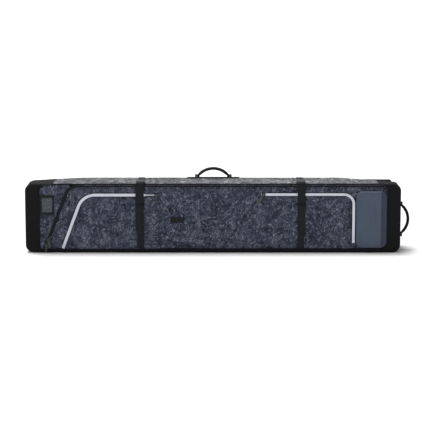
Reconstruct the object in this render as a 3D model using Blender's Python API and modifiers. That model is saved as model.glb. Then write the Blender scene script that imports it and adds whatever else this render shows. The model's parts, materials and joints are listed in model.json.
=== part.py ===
"""A padded, wheeled travel bag for two snowboards, standing on its long narrow side.

Metres, +Z up. X runs along the bag, from the wheel end at -X to the pull handle at +X. -Y is
the front, where a big zipped lid is hinged along the bottom edge. Z = 0 is the face it stands on.
Soft panels are plain sheets of their real size and place.
"""

import math

import bmesh
import bpy
from mathutils import Matrix, Vector

# Size of the closed bag
LEFT, RIGHT = -0.910, 0.910
HEIGHT = 0.340
FRONT, BACK = -0.100, 0.100
WALL = 0.0035                      # fabric with its backing
FOAM = 0.006
GAP = 0.0003                       # between faces that touch on the real bag
CORNER = 0.038                     # outline corners, seen from the front

# Front face: the camouflage area inside the black end caps
FACE_LEFT, FACE_RIGHT = -0.840, 0.8447
FACE_BOTTOM, FACE_TOP = 0.018, 0.3338
FACE_CORNER = 0.035
FOOT_CORNER = 0.010                # tighter, beside the zip's lower end
CAP_INNER_LEFT, CAP_INNER_RIGHT = -0.775, 0.805

# Main zip: up the diagonal, along the top edge and down the right side
ZIP_HALF = 0.0067                  # width of one tape with its teeth
ZIP_THICK = 0.0025
ZIP_START = Vector((-0.8195, 0.012))
ZIP_ANGLE = math.radians(21.5)     # lean of the diagonal from vertical
ZIP_TOP = 0.3268
ZIP_RIGHT = FACE_RIGHT - ZIP_HALF - GAP
ZIP_BEND = 0.055
LID_FROM = 0.0800                  # height where the lid's own tape starts on the diagonal
HINGE_Z = 0.0188                   # the hinge line runs along X at y = -0.1003
LID_EDGE = ZIP_HALF + 2 * GAP      # from the middle of the zip to the lid's cloth
LID_FOOT = Vector((-0.7690, HINGE_Z + 0.0007))

# Heights of the layers on the front face, outwards from the lid
TRIM_FRONT = FRONT - 0.0020        # pocket panels and silver zips
STRAP_BACK, STRAP_FRONT = -0.1045, -0.1062
TAIL_BACK, TAIL_FRONT = -0.1067, -0.1084

# Pockets
POCKET_ZIP = 0.0170                # width of the silver zips
POCKET_1_FOOT = Vector((-0.7284, 0.0225))
POCKET_1_ANGLE = math.radians(20.5)
POCKET_1_TOP = 0.2842
POCKET_1_END = -0.262
POCKET_1_BEND, POCKET_2_BEND = 0.086, 0.047
POCKET_2_START, POCKET_2_SIDE = 0.232, 0.681
POCKET_2_TOP, POCKET_2_FOOT = 0.2867, 0.049
POCKET_2_ZIP = 0.0140
END_POCKET = (0.6925, 0.8420, 0.0245, 0.3040)      # x, x, z, z
END_POCKET_RISE, END_POCKET_CORNER = 0.0110, 0.030
POCKET_2_SEAM_X = (0.044, 0.227)   # foot and head of its slanted seam

# Small things sewn on the front
WINDOW = (-0.838, -0.768, 0.186, 0.284)            # x, x, z, z
WINDOW_RIM_X, WINDOW_RIM_Z = 0.009, 0.012
LABEL = (-0.2057, -0.1404, 0.147, 0.1764)

# Straps round the bag
STRAP_WIDTH, STRAP_THICK = 0.032, 0.0017
STRAP_FOOT, TAIL_TOP, TAIL_SLANT = 0.0222, 0.330, 0.026
STRAPS = {"left": (-0.3508, -0.3590), "right": (0.4250, 0.4308)}    # middle of strap, of tail
KEEPER_Z, KEEPER_HALF, KEEPER_WALL = 0.2377, 0.005, 0.002
TAIL_END_Z = 0.085
INNER_STRAP_FOOT, INNER_STRAP_TOP = 0.045, 0.295
BUCKLE_WIDTH, BUCKLE_BASE, BUCKLE_HEIGHT = 0.042, HEIGHT + 0.0025, 0.009
BUCKLE_MOUTH = -0.080              # y where plug and socket meet
SOCKET_LENGTH, SOCKET_WALL, SOCKET_SKIN, SOCKET_DEPTH = 0.035, 0.0035, 0.0015, 0.022
PRONG_SPACING, PRONG_HALF, PRONG_THICK = 0.0125, 0.0025, 0.003
SIDE_PRONG, MIDDLE_PRONG = 0.018, 0.012            # how far they reach into the socket

# Zip sliders and pulls
SLIDER_LENGTH, SLIDER_WIDTH, SLIDER_THICK = 0.020, 0.0125, 0.0065
BAR_R, EYE_R, EYE_HALF = 0.0012, 0.0028, 0.0036
PULL_WIDTH, PULL_THICK = 0.0080, 0.0020

# Handles
TUBE_R, LUG_WIDTH, LUG_R, PIN_R = 0.0075, 0.014, 0.0075, 0.003
PIN_PLAY = 0.0004
PIN_HEIGHT = LUG_R + 2 * GAP       # from the patch up to the pins
HANDLE_STEPS = 14
PATCH_THICK, EAR_THICK, EAR_HALF, EAR_OVER_PIN = 0.002, 0.008, 0.009, 0.0035
TOP_HANDLE_HALF, TOP_HANDLE_RISE = 0.0745, 0.036
TOP_HANDLE_X, TOP_HANDLE_Y = 0.0015, 0.082         # near the back edge of the top
TOP_PATCH = (0.257, 0.034)
END_HANDLE_HALF, END_HANDLE_RISE, END_HANDLE_Z = 0.070, 0.0340, 0.149
END_PATCH = (0.200, 0.050)

# Wheels at the back corner of the left end, their axles along Z
WHEEL = Vector((-0.868, 0.088))
WHEEL_R, WHEEL_WIDTH, HUB_R, AXLE_R = 0.036, 0.024, 0.025, 0.004
WHEEL_Z = {"lower": 0.064, "upper": HEIGHT - 0.064}
HOUSING = Vector((0.0797, 0.0585, 0.054))
HOUSING_MIN = Vector((-0.9057, 0.0400))
HOUSING_WALL, HOUSING_SKIN, WHEEL_PLAY, TYRE_ROUNDING = 0.006, 0.0015, 0.0015, 0.004

# Linings
PADDING_FOOT, PADDING_TOP, PADDING_RIGHT = 0.010, 0.330, 0.880
PADDING_FROM_HOUSING = 0.012
BOARD = (0.012, 0.034, 0.045, 0.295, 0.002)        # from the front, y, z, z, thickness

ARC_STEPS = 6


# ---------------------------------------------------------------- scene and materials

def clear_scene():
    for obj in list(bpy.data.objects):
        bpy.data.objects.remove(obj)


def new_collection(name):
    made = bpy.data.collections.new(name)
    bpy.context.scene.collection.children.link(made)
    return made


clear_scene()
BAG = new_collection("snowboard_bag")
CUTTERS = new_collection("cutters")

COLOURS = {                        # base colour, roughness, metallic
    "camo": ((0.050, 0.056, 0.084), 0.85, 0.0),
    "black_cloth": ((0.010, 0.011, 0.012), 0.80, 0.0),
    "grey_cloth": ((0.078, 0.094, 0.138), 0.75, 0.0),
    "foam": ((0.045, 0.045, 0.050), 0.95, 0.0),
    "webbing": ((0.012, 0.014, 0.018), 0.75, 0.0),
    "silver": ((0.460, 0.470, 0.550), 0.45, 0.0),
    "zip": ((0.008, 0.009, 0.012), 0.55, 0.0),
    "plastic": ((0.012, 0.012, 0.013), 0.45, 0.0),
    "metal": ((0.110, 0.112, 0.118), 0.35, 1.0),
    "steel": ((0.550, 0.560, 0.570), 0.30, 1.0),
    "rubber": ((0.015, 0.015, 0.016), 0.70, 0.0),
    "clear": ((0.160, 0.170, 0.200), 0.20, 0.0),
    "card": ((0.180, 0.190, 0.220), 0.80, 0.0),
    "patch": ((0.006, 0.008, 0.007), 0.50, 0.0),
}


def give_material(obj, colour):
    rgb, roughness, metallic = COLOURS[colour]
    material = bpy.data.materials.new(obj.name)
    material.use_nodes = True
    shader = material.node_tree.nodes["Principled BSDF"]
    shader.inputs["Base Color"].default_value = (*rgb, 1.0)
    shader.inputs["Roughness"].default_value = roughness
    shader.inputs["Metallic"].default_value = metallic
    obj.data.materials.clear()
    obj.data.materials.append(material)


def add_object(name, data, colour=None):
    """A part in the bag's collection, or a hidden cutter when it has no colour."""
    obj = bpy.data.objects.new(name, data)
    (BAG if colour else CUTTERS).objects.link(obj)
    if colour:
        give_material(obj, colour)
    else:
        obj.hide_render = True
        obj.display_type = "WIRE"
    return obj


# ---------------------------------------------------------------- outlines

def corner_arc(before, corner, after, radius):
    """Points of the arc that rounds this corner."""
    to_before, to_after = (before - corner).normalized(), (after - corner).normalized()
    opening = to_before.angle(to_after)
    centre = corner + (to_before + to_after).normalized() * radius / math.sin(opening / 2)
    start = corner + to_before * radius / math.tan(opening / 2) - centre
    turn = (math.pi - opening) * (1 if to_before.cross(to_after) < 0 else -1)
    points = []
    for step in range(ARC_STEPS + 1):
        points.append(centre + Matrix.Rotation(turn * step / ARC_STEPS, 2) @ start)
    return points


def rounded(corners, closed=True):
    """An outline through (x, z, radius) corners, each rounded by its radius."""
    points = []
    count = len(corners)
    for i, (x, z, radius) in enumerate(corners):
        here = Vector((x, z))
        ends_path = not closed and i in (0, count - 1)
        if radius == 0 or ends_path:
            points.append(here)
            continue
        before = Vector(corners[i - 1][:2])
        after = Vector(corners[(i + 1) % count][:2])
        points += corner_arc(before, here, after, radius)
    return points


def rectangle(x0, x1, z0, z1, radius=0.0):
    return rounded([(x0, z0, radius), (x1, z0, radius), (x1, z1, radius), (x0, z1, radius)])


def offset(path, distance):
    """The open path moved this far to its left."""
    moved = []
    for i, point in enumerate(path):
        ahead = path[min(i + 1, len(path) - 1)] - path[min(i, len(path) - 2)]
        behind = path[max(i, 1)] - path[max(i - 1, 0)]
        normals = [Vector((-d.y, d.x)).normalized() for d in (ahead, behind)]
        middle = (normals[0] + normals[1]).normalized()
        moved.append(point + middle * distance / middle.dot(normals[0]))
    return moved


def band(path, near, far):
    """The closed outline between two offsets of a path."""
    return offset(path, near) + offset(path, far)[::-1]


def above(path, height):
    """The part of a rising path over this height, with its first point on it."""
    for i in range(1, len(path)):
        if path[i].y > height:
            low, high = path[i - 1], path[i]
            return [low.lerp(high, (height - low.y) / (high.y - low.y))] + path[i:]
    return []


def point_on_diagonal(height):
    return ZIP_START + Vector((math.tan(ZIP_ANGLE), 1.0)) * (height - ZIP_START.y)


def main_zip_path():
    """Middle of the main zip, from its lower left end round to its lower right end."""
    top_of_diagonal = point_on_diagonal(ZIP_TOP)
    return rounded([
        (*ZIP_START, 0),
        (*top_of_diagonal, ZIP_BEND),
        (ZIP_RIGHT, ZIP_TOP, FACE_CORNER - ZIP_HALF),
        (ZIP_RIGHT, FACE_BOTTOM + FACE_CORNER, 0),
    ], closed=False)


# ---------------------------------------------------------------- solids

def plate(name, outlines, low, high, colour=None, normal="Y"):
    """A flat sheet between two planes. Outlines are in X and Z, or in X and Y if it faces Z,
    or in Y and Z if it faces X. A second outline is a hole."""
    curve = bpy.data.curves.new(name, "CURVE")
    curve.dimensions = "2D"
    curve.fill_mode = "BOTH"
    curve.extrude = (high - low) / 2
    for outline in outlines:
        spline = curve.splines.new("POLY")
        spline.points.add(len(outline) - 1)
        for point, place in zip(spline.points, outline):
            point.co = (place[0], place[1], 0.0, 1.0)
        spline.use_cyclic_u = True
    obj = add_object(name, curve, colour)
    middle = (low + high) / 2
    if normal == "Y":
        obj.rotation_euler = (math.pi / 2, 0, 0)
        obj.location = (0, middle, 0)
    elif normal == "X":
        obj.rotation_euler = (math.pi / 2, 0, math.pi / 2)
        obj.location = (middle, 0, 0)
    else:
        obj.location = (0, 0, middle)
    return obj


def as_mesh(obj):
    """The object with its curve made a closed mesh, so that it can be cut or joined."""
    bpy.context.view_layer.update()
    graph = bpy.context.evaluated_depsgraph_get()
    mesh = bpy.data.meshes.new_from_object(obj.evaluated_get(graph))
    work = bmesh.new()
    work.from_mesh(mesh)
    bmesh.ops.remove_doubles(work, verts=work.verts, dist=1e-5)
    work.to_mesh(mesh)
    work.free()
    made = bpy.data.objects.new(obj.name, mesh)
    made.matrix_world = obj.matrix_world
    made.hide_render = obj.hide_render
    made.display_type = obj.display_type
    name = obj.name
    collection = obj.users_collection[0]
    bpy.data.objects.remove(obj)
    collection.objects.link(made)
    made.name = name
    return made


def box(name, low, high, colour=None, bevel=0.0):
    work = bmesh.new()
    bmesh.ops.create_cube(work, size=1.0)
    low, high = Vector(low), Vector(high)
    bmesh.ops.scale(work, vec=high - low, verts=work.verts)
    mesh = bpy.data.meshes.new(name)
    work.to_mesh(mesh)
    work.free()
    obj = add_object(name, mesh, colour)
    obj.location = (low + high) / 2
    if bevel:
        rounding = obj.modifiers.new("rounded edges", "BEVEL")
        rounding.width = bevel
        rounding.segments = 2
    return obj


def cylinder(name, centre, radius, length, axis, colour=None, segments=24):
    work = bmesh.new()
    bmesh.ops.create_cone(
        work, cap_ends=True, segments=segments, radius1=radius, radius2=radius, depth=length
    )
    mesh = bpy.data.meshes.new(name)
    work.to_mesh(mesh)
    work.free()
    obj = add_object(name, mesh, colour)
    obj.rotation_euler = Vector(axis).to_track_quat("Z", "Y").to_euler()
    obj.location = centre
    return obj


def ring(name, centre, inner, outer, half_width, colour, rounding=0.0):
    """A wheel or hub turned about Z."""
    profile = [(outer, half_width - rounding), (outer, rounding - half_width)]
    if rounding:
        profile.append((outer - rounding, -half_width))
    profile += [(inner, -half_width), (inner, half_width)]
    if rounding:
        profile.append((outer - rounding, half_width))
    work = bmesh.new()
    verts = [work.verts.new((x, 0, z)) for x, z in profile]
    for i, vert in enumerate(verts):
        work.edges.new((vert, verts[(i + 1) % len(verts)]))
    mesh = bpy.data.meshes.new(name)
    work.to_mesh(mesh)
    work.free()
    obj = add_object(name, mesh, colour)
    obj.location = centre
    turning = obj.modifiers.new("turned", "SCREW")
    turning.axis = "Z"
    turning.steps = turning.render_steps = 28
    turning.use_merge_vertices = True
    turning.merge_threshold = 0.00005
    return obj


def combine(obj, operation, others):
    for other in others:
        change = obj.modifiers.new(other.name, "BOOLEAN")
        change.operation = operation
        change.solver = "EXACT"
        change.object = other
    return obj


def join(obj, *others):
    return combine(obj, "UNION", others)


def cut(obj, *others):
    return combine(obj, "DIFFERENCE", others)


# ---------------------------------------------------------------- bag body

def face_cutter():
    """The front opening of both end caps, a gap larger than the face."""
    x0, x1 = FACE_LEFT - GAP, FACE_RIGHT + GAP
    z0, z1 = FACE_BOTTOM - GAP, FACE_TOP + GAP
    radius = FACE_CORNER + GAP
    outline = rounded([(x0, z0, FOOT_CORNER + GAP), (x1, z0, radius), (x1, z1, radius),
                       (x0, z1, radius)])
    return as_mesh(plate("face_cutter", [outline], FRONT - 0.01, FRONT + 0.008))


def end_cap(name, outer, inner):
    """An open box round one end, its outer corners rounded as seen from the front."""
    work = bmesh.new()
    bmesh.ops.create_cube(work, size=1.0)
    bmesh.ops.scale(work, vec=(abs(inner - outer), BACK - FRONT, HEIGHT), verts=work.verts)
    bmesh.ops.translate(work, vec=((outer + inner) / 2, 0, HEIGHT / 2), verts=work.verts)

    def at_x(vert, x):
        return abs(vert.co.x - x) < 1e-6

    open_side = [f for f in work.faces if all(at_x(v, inner) for v in f.verts)]
    bmesh.ops.delete(work, geom=open_side, context="FACES_ONLY")
    long_edges = [
        e for e in work.edges
        if all(at_x(v, outer) for v in e.verts) and e.verts[0].co.z == e.verts[1].co.z
    ]
    bmesh.ops.bevel(
        work, geom=long_edges, offset=CORNER, segments=6, profile=0.5, affect="EDGES"
    )
    mesh = bpy.data.meshes.new(name)
    work.to_mesh(mesh)
    work.free()
    obj = add_object(name, mesh, "black_cloth")
    wall = obj.modifiers.new("wall", "SOLIDIFY")
    wall.thickness = WALL
    wall.offset = -1.0
    wall.use_even_offset = True
    return obj


def housing_box(z, grow=0.0):
    low = Vector((*HOUSING_MIN, z - HOUSING.z / 2)) - Vector((min(grow, 1e-4), grow, grow))
    high = Vector((*HOUSING_MIN, z - HOUSING.z / 2)) + HOUSING + Vector((grow, grow, grow))
    return low, high


def end_caps():
    cutter = face_cutter()
    left = end_cap("left_end_cap", LEFT, CAP_INNER_LEFT)
    cut(left, cutter)
    for name, z in WHEEL_Z.items():
        low, high = housing_box(z, GAP)
        high.y = BACK + 0.02
        cut(left, box(f"{name}_housing_cutter", low, high))
    cut(end_cap("right_end_cap", RIGHT, CAP_INNER_RIGHT), cutter)


def gussets_and_back():
    """The strips between the end caps, and the foam behind the back."""
    x0, x1 = CAP_INNER_LEFT + GAP, CAP_INNER_RIGHT - GAP
    piping_r = 0.0030
    piping_y = FRONT + piping_r
    box("top_gusset", (x0, piping_y + piping_r + GAP, HEIGHT - WALL), (x1, BACK, HEIGHT), "camo")
    cylinder("top_piping", ((x0 + x1) / 2, piping_y, HEIGHT - piping_r), piping_r, x1 - x0,
             (1, 0, 0), "black_cloth", 12)
    lip = [(FRONT, 0), (BACK, 0), (BACK, WALL), (FRONT + WALL, WALL),
           (FRONT + WALL, FACE_BOTTOM - GAP), (FRONT, FACE_BOTTOM - GAP)]
    plate("bottom_gusset", [lip], x0, x1, "black_cloth", "X")
    z0, z1 = WALL + GAP, HEIGHT - WALL - GAP
    box("back_panel", (x0, BACK - WALL, z0), (x1, BACK, z1), "black_cloth")
    foam_back = BACK - WALL - GAP
    foam_left = HOUSING_MIN.x + HOUSING.x + PADDING_FROM_HOUSING
    box("back_padding", (foam_left, foam_back - FOAM, PADDING_FOOT),
        (PADDING_RIGHT, foam_back, PADDING_TOP), "foam")


def front_left_panel(path):
    """Fixed panel between the left end cap and the diagonal zip."""
    edge = offset(path, LID_EDGE)
    foot = edge[0].lerp(edge[1], (FACE_BOTTOM - edge[0].y) / (edge[1].y - edge[0].y))
    edge = [p for p in edge if FACE_BOTTOM + 0.002 < p.y < ZIP_TOP and p.x < 0]
    left_side = rounded([
        (edge[-1].x, FACE_TOP, 0),
        (FACE_LEFT, FACE_TOP, FACE_CORNER),
        (FACE_LEFT, FACE_BOTTOM, FOOT_CORNER),
        (foot.x, FACE_BOTTOM, 0),
    ], closed=False)
    plate("front_left_panel", [left_side + edge], FRONT, FRONT + WALL, "camo")


def zip_garage(path):
    """Fixed tab under the lower end of the zip, where both sliders park."""
    along = (path[1] - path[0]).normalized()
    left = offset(path, -GAP)[0]
    foot = left + along * (FACE_BOTTOM + GAP - left.y) / along.y
    clear = 3 * GAP
    head = offset(above(path, LID_FROM), -GAP)[0] - along * clear
    shoulder = offset(above(path, LID_FROM), -LID_EDGE)[0] - along * clear - Vector((clear, 0))
    outline = [foot, Vector((LID_FOOT.x - clear, foot.y)), shoulder, head]
    plate("zip_garage", [outline], FRONT, FRONT + WALL, "camo")


def main_zip(path):
    start = above(path, FACE_BOTTOM + GAP)
    end = FRONT + ZIP_THICK
    plate("main_zip_body_tape", [band(start, GAP, ZIP_HALF)], FRONT, end, "zip")
    lid_path = above(path, LID_FROM)
    plate("main_zip_lid_tape", [band(lid_path, -GAP, -ZIP_HALF)], FRONT, end, "zip")


def id_window():
    front = FRONT - GAP
    x0, x1, z0, z1 = WINDOW
    hole = (x0 + WINDOW_RIM_X, x1 - WINDOW_RIM_X, z0 + WINDOW_RIM_Z, z1 - WINDOW_RIM_Z)
    outlines = [rectangle(x0, x1, z0, z1, 0.003), rectangle(*hole)]
    plate("id_window_frame", outlines, front - 0.0018, front, "webbing")
    pane = (hole[0] + GAP, hole[1] - GAP, hole[2] + GAP, hole[3] - GAP)
    plate("id_window_pane", [rectangle(*pane)], front - 0.0012, front - 0.0007, "clear")
    plate("id_card", [rectangle(*pane)], front - 0.0004, front, "card")


# ---------------------------------------------------------------- lid

def lid_outline(path, inset):
    """Outline of the lid, this far inside the middle of the zip."""
    edge = offset(above(path, LID_FROM), -inset)
    margin = inset - LID_EDGE
    right = edge[-1].x
    return edge + rounded([
        (right, edge[-1].y, 0),
        (right, LID_FOOT.y + margin, FACE_CORNER - inset),
        (LID_FOOT.x + margin, LID_FOOT.y + margin, 0),
    ], closed=False)[1:]


def lid_panels(path):
    plate("lid_panel", [lid_outline(path, LID_EDGE)], FRONT, FRONT + WALL, "camo")
    foam_front = FRONT + WALL + GAP
    foam = lid_outline(path, LID_EDGE + 0.010)
    plate("lid_padding", [foam], foam_front, foam_front + FOAM, "foam")


def pocket_1_path():
    """Middle of the silver zip of the long pocket, from its foot."""
    rise = POCKET_1_TOP - POCKET_1_FOOT.y
    bend_x = POCKET_1_FOOT.x + math.tan(POCKET_1_ANGLE) * rise
    return rounded([
        (*POCKET_1_FOOT, 0), (bend_x, POCKET_1_TOP, POCKET_1_BEND), (POCKET_1_END, POCKET_1_TOP, 0)
    ], closed=False)


def pocket_2_path():
    """Middle of the silver zip of the end pocket, from its left end."""
    return rounded([
        (POCKET_2_START, POCKET_2_TOP, 0), (POCKET_2_SIDE, POCKET_2_TOP, POCKET_2_BEND),
        (POCKET_2_SIDE, POCKET_2_FOOT, 0)
    ], closed=False)


def pockets():
    back = FRONT - GAP
    seam_x = POCKET_1_END
    path = pocket_1_path()
    half = POCKET_ZIP / 2
    plate("pocket_1_zip", [band(path, -half, half)], TRIM_FRONT, back, "silver")
    inner = offset(path, -half - GAP)
    panel = inner + [Vector((seam_x, inner[0].y))]
    plate("pocket_1_panel", [panel], TRIM_FRONT + 0.0004, back, "camo")

    path = pocket_2_path()
    half = POCKET_2_ZIP / 2
    plate("pocket_2_zip", [band(path, -half, half)], TRIM_FRONT, back, "silver")
    inner = offset(path, -half - GAP)
    foot = POCKET_1_FOOT.y
    seam_foot, seam_top = Vector((POCKET_2_SEAM_X[0], foot)), Vector((POCKET_2_SEAM_X[1], inner[0].y))
    panel = [seam_top] + inner + [Vector((inner[-1].x, foot)), seam_foot]
    plate("pocket_2_panel", [panel], TRIM_FRONT + 0.0004, back, "camo")

    raised = as_mesh(plate("end_pocket_panel", [rectangle(*END_POCKET, END_POCKET_CORNER)],
                           FRONT - END_POCKET_RISE, back, "grey_cloth"))
    give_material(raised, "grey_cloth")
    plate("label_patch", [rectangle(*LABEL, 0.002)], TRIM_FRONT, back, "patch")


# ---------------------------------------------------------------- straps and buckles

def strap(side, x, tail_x):
    half = STRAP_WIDTH / 2
    socket_end = BUCKLE_MOUTH + SOCKET_LENGTH
    box(f"strap_{side}_top", (x - half, socket_end + GAP, HEIGHT + GAP),
        (x + half, BACK - 0.001, HEIGHT + 0.002), "webbing")
    top = BUCKLE_BASE + BUCKLE_HEIGHT / 2
    below, plug_end = top - STRAP_THICK, FRONT - GAP
    run = [(STRAP_FRONT, STRAP_FOOT), (STRAP_BACK, STRAP_FOOT), (STRAP_BACK, below),
           (plug_end, below), (plug_end, top), (STRAP_FRONT, top)]
    plate(f"strap_{side}_front", [run], x - half, x + half, "webbing", "X")
    tail = [(tail_x - half, TAIL_END_Z + TAIL_SLANT), (tail_x + half, TAIL_END_Z),
            (tail_x + half, TAIL_TOP), (tail_x - half, TAIL_TOP)]
    plate(f"strap_{side}_tail", [tail], TAIL_FRONT, TAIL_BACK, "webbing")
    left, right = min(x, tail_x) - half - GAP, max(x, tail_x) + half + GAP
    hole = rectangle(left, right, TAIL_FRONT - GAP, STRAP_BACK + GAP)
    outer = rectangle(left - KEEPER_WALL, right + KEEPER_WALL, TAIL_FRONT - GAP - KEEPER_WALL,
                      STRAP_BACK + GAP + KEEPER_WALL, KEEPER_WALL / 2)
    plate(f"strap_{side}_keeper", [outer, hole], KEEPER_Z - KEEPER_HALF, KEEPER_Z + KEEPER_HALF,
          "plastic", "Z")


def buckle(side, x):
    """A side-release buckle on the top edge: its plug leaves the socket as the lid opens."""
    half = BUCKLE_WIDTH / 2
    base, top = BUCKLE_BASE, BUCKLE_BASE + BUCKLE_HEIGHT
    socket = box(f"buckle_{side}_socket", (x - half, BUCKLE_MOUTH + GAP, base),
                 (x + half, BUCKLE_MOUTH + SOCKET_LENGTH - GAP, top), "plastic")
    inner = half - SOCKET_WALL
    cut(socket, box(f"{side}_socket_cutter",
                    (x - inner, BUCKLE_MOUTH - SOCKET_DEPTH, base + SOCKET_SKIN),
                    (x + inner, BUCKLE_MOUTH + SOCKET_DEPTH, top - SOCKET_SKIN)))
    plug = box(f"buckle_{side}_plug", (x - half, FRONT, base), (x + half, BUCKLE_MOUTH, top),
               "plastic")
    low = base + SOCKET_SKIN + 2 * GAP
    for prong, place, reach in (("left", x - PRONG_SPACING, SIDE_PRONG),
                                ("middle", x, MIDDLE_PRONG),
                                ("right", x + PRONG_SPACING, SIDE_PRONG)):
        join(plug, box(f"{side}_{prong}_prong",
                       (place - PRONG_HALF, BUCKLE_MOUTH - 2 * PRONG_THICK, low),
                       (place + PRONG_HALF, BUCKLE_MOUTH + reach, low + PRONG_THICK)))


def inner_strap(side, x):
    front = BACK - WALL - 2 * GAP - FOAM
    outline = rectangle(x - STRAP_WIDTH / 2, x + STRAP_WIDTH / 2, INNER_STRAP_FOOT,
                        INNER_STRAP_TOP, 0.004)
    plate(f"inner_strap_{side}", [outline], front - STRAP_THICK, front, "webbing")


# ---------------------------------------------------------------- handles

def arc_path(half, rise):
    """A loop's middle line: an arc over the chord from -half to half."""
    radius = (half ** 2 + rise ** 2) / (2 * rise)
    sweep = math.asin(half / radius)
    path = []
    for step in range(HANDLE_STEPS + 1):
        turn = sweep * (2 * step / HANDLE_STEPS - 1)
        path.append(Vector((radius * math.sin(turn), radius * math.cos(turn) - radius + rise)))
    return path


def handle(name, location, rotation, path, base_size):
    """A loop that swings on two pins. In its own frame the pins lie along X and the loop
    stands up along Z; the origin is midway between the pins."""
    x_lug = abs(path[0].x)
    seat = -PIN_HEIGHT
    base = box(f"{name}_base", (-base_size[0] / 2, -base_size[1] / 2, seat - PATCH_THICK),
               (base_size[0] / 2, base_size[1] / 2, seat), "black_cloth")
    curve = bpy.data.curves.new(name, "CURVE")
    curve.dimensions = "3D"
    curve.bevel_depth = TUBE_R
    curve.bevel_resolution = 3
    curve.use_fill_caps = True
    spline = curve.splines.new("POLY")
    spline.points.add(len(path) - 1)
    for point, place in zip(spline.points, path):
        point.co = (place.x, 0.0, place.y, 1.0)
    loop = as_mesh(add_object(name, curve, "webbing"))
    give_material(loop, "webbing")
    placed = [base, loop]
    for side, sign in (("a", -1), ("b", 1)):
        x = sign * x_lug
        lug = cylinder(f"{name}_lug_{side}", (x, 0, 0), LUG_R, LUG_WIDTH, (1, 0, 0))
        hole = cylinder(f"{name}_hole_{side}", (x, 0, 0), PIN_R + PIN_PLAY, 3 * LUG_WIDTH, (1, 0, 0))
        join(loop, lug)
        cut(loop, hole)
        ear_inner = x_lug + LUG_WIDTH / 2 + 2 * GAP
        ear_sides = sorted((sign * ear_inner, sign * (ear_inner + EAR_THICK)))
        ear = box(f"{name}_ear_{side}", (ear_sides[0], -EAR_HALF, seat - PATCH_THICK / 2),
                  (ear_sides[1], EAR_HALF, PIN_R + EAR_OVER_PIN))
        pin_start = x_lug - LUG_WIDTH / 2
        pin_end = ear_inner + EAR_THICK / 2
        pin = cylinder(f"{name}_pin_{side}", (sign * (pin_start + pin_end) / 2, 0, 0), PIN_R,
                       pin_end - pin_start, (1, 0, 0))
        join(base, ear, pin)
        placed += [lug, hole, ear, pin]
    frame = Matrix.Translation(location) @ Matrix.Rotation(rotation, 4, "Y")
    bpy.context.view_layer.update()
    for obj in placed:
        obj.matrix_world = frame @ obj.matrix_world
    return loop


def handles():
    top = (TOP_HANDLE_X, TOP_HANDLE_Y, HEIGHT + GAP + PATCH_THICK + PIN_HEIGHT)
    handle("top_handle", top, 0.0, arc_path(TOP_HANDLE_HALF, TOP_HANDLE_RISE), TOP_PATCH)
    end = (RIGHT + GAP + PATCH_THICK + PIN_HEIGHT, 0, END_HANDLE_Z)
    handle("end_handle", end, math.pi / 2, arc_path(END_HANDLE_HALF, END_HANDLE_RISE), END_PATCH)


# ---------------------------------------------------------------- sliders and pulls

def slider(name, x, z, lean, back, pull_length, pull_lean):
    """A zip slider lying along the zip, and its pull hanging from a bar across it."""
    front = back - SLIDER_THICK
    bar_y = front - EYE_R - GAP
    outline = rectangle(-SLIDER_WIDTH / 2, SLIDER_WIDTH / 2, -SLIDER_LENGTH / 2, SLIDER_LENGTH / 2,
                        0.004)
    turn = Matrix.Rotation(-lean, 2)
    place = Vector((x, z))
    body = as_mesh(plate(f"{name}_slider", [[place + turn @ p for p in outline]], front, back,
                         "metal"))
    give_material(body, "metal")
    ear_y = bar_y - BAR_R - 0.0008
    for side, sign in (("a", -1), ("b", 1)):
        inner, outer = sign * (EYE_HALF + GAP), sign * (EYE_HALF + GAP + 0.0012)
        join(body, box(f"{name}_ear_{side}", (x + min(inner, outer), ear_y, z - 0.0022),
                       (x + max(inner, outer), front + 0.001, z + 0.0022)))
    bar_length = 2 * EYE_HALF + 2 * GAP + 0.0016
    join(body, cylinder(f"{name}_bar", (x, bar_y, z), BAR_R, bar_length, (1, 0, 0), segments=12))

    half = PULL_WIDTH / 2
    neck, shoulder = 0.0020, 0.008
    tongue = rounded([(-neck, -0.0018, 0), (-neck, -0.005, 0), (-half, -shoulder, 0),
                      (-half, -pull_length, 0.002), (half, -pull_length, 0.002),
                      (half, -shoulder, 0), (neck, -0.005, 0), (neck, -0.0018, 0)])
    turn = Matrix.Rotation(pull_lean, 2)
    tongue = [place + turn @ p for p in tongue]
    pull = as_mesh(plate(f"{name}_pull", [tongue], bar_y - PULL_THICK / 2, bar_y + PULL_THICK / 2,
                         "plastic"))
    give_material(pull, "plastic")
    eye = cylinder(f"{name}_eye", (x, bar_y, z), EYE_R, 2 * EYE_HALF, (1, 0, 0), segments=16)
    hole = cylinder(f"{name}_eye_hole", (x, bar_y, z), BAR_R + GAP, 4 * EYE_HALF, (1, 0, 0),
                    segments=16)
    join(pull, eye)
    cut(pull, hole)


def sliders():
    on_face, on_trim = FRONT - GAP, TRIM_FRONT - GAP
    lower, upper = point_on_diagonal(0.0385), point_on_diagonal(0.0640)
    slider("main_lower", lower.x, lower.y, ZIP_ANGLE, on_face, 0.033, 0.0)
    slider("main_upper", upper.x, upper.y, ZIP_ANGLE, on_face, 0.038, math.radians(14))
    slider("pocket_1", -0.2735, POCKET_1_TOP, math.pi / 2, on_trim, 0.036, 0.0)
    slider("pocket_2", 0.2440, POCKET_2_TOP, math.pi / 2, on_trim, 0.050, math.radians(-30))


# ---------------------------------------------------------------- wheels

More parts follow.
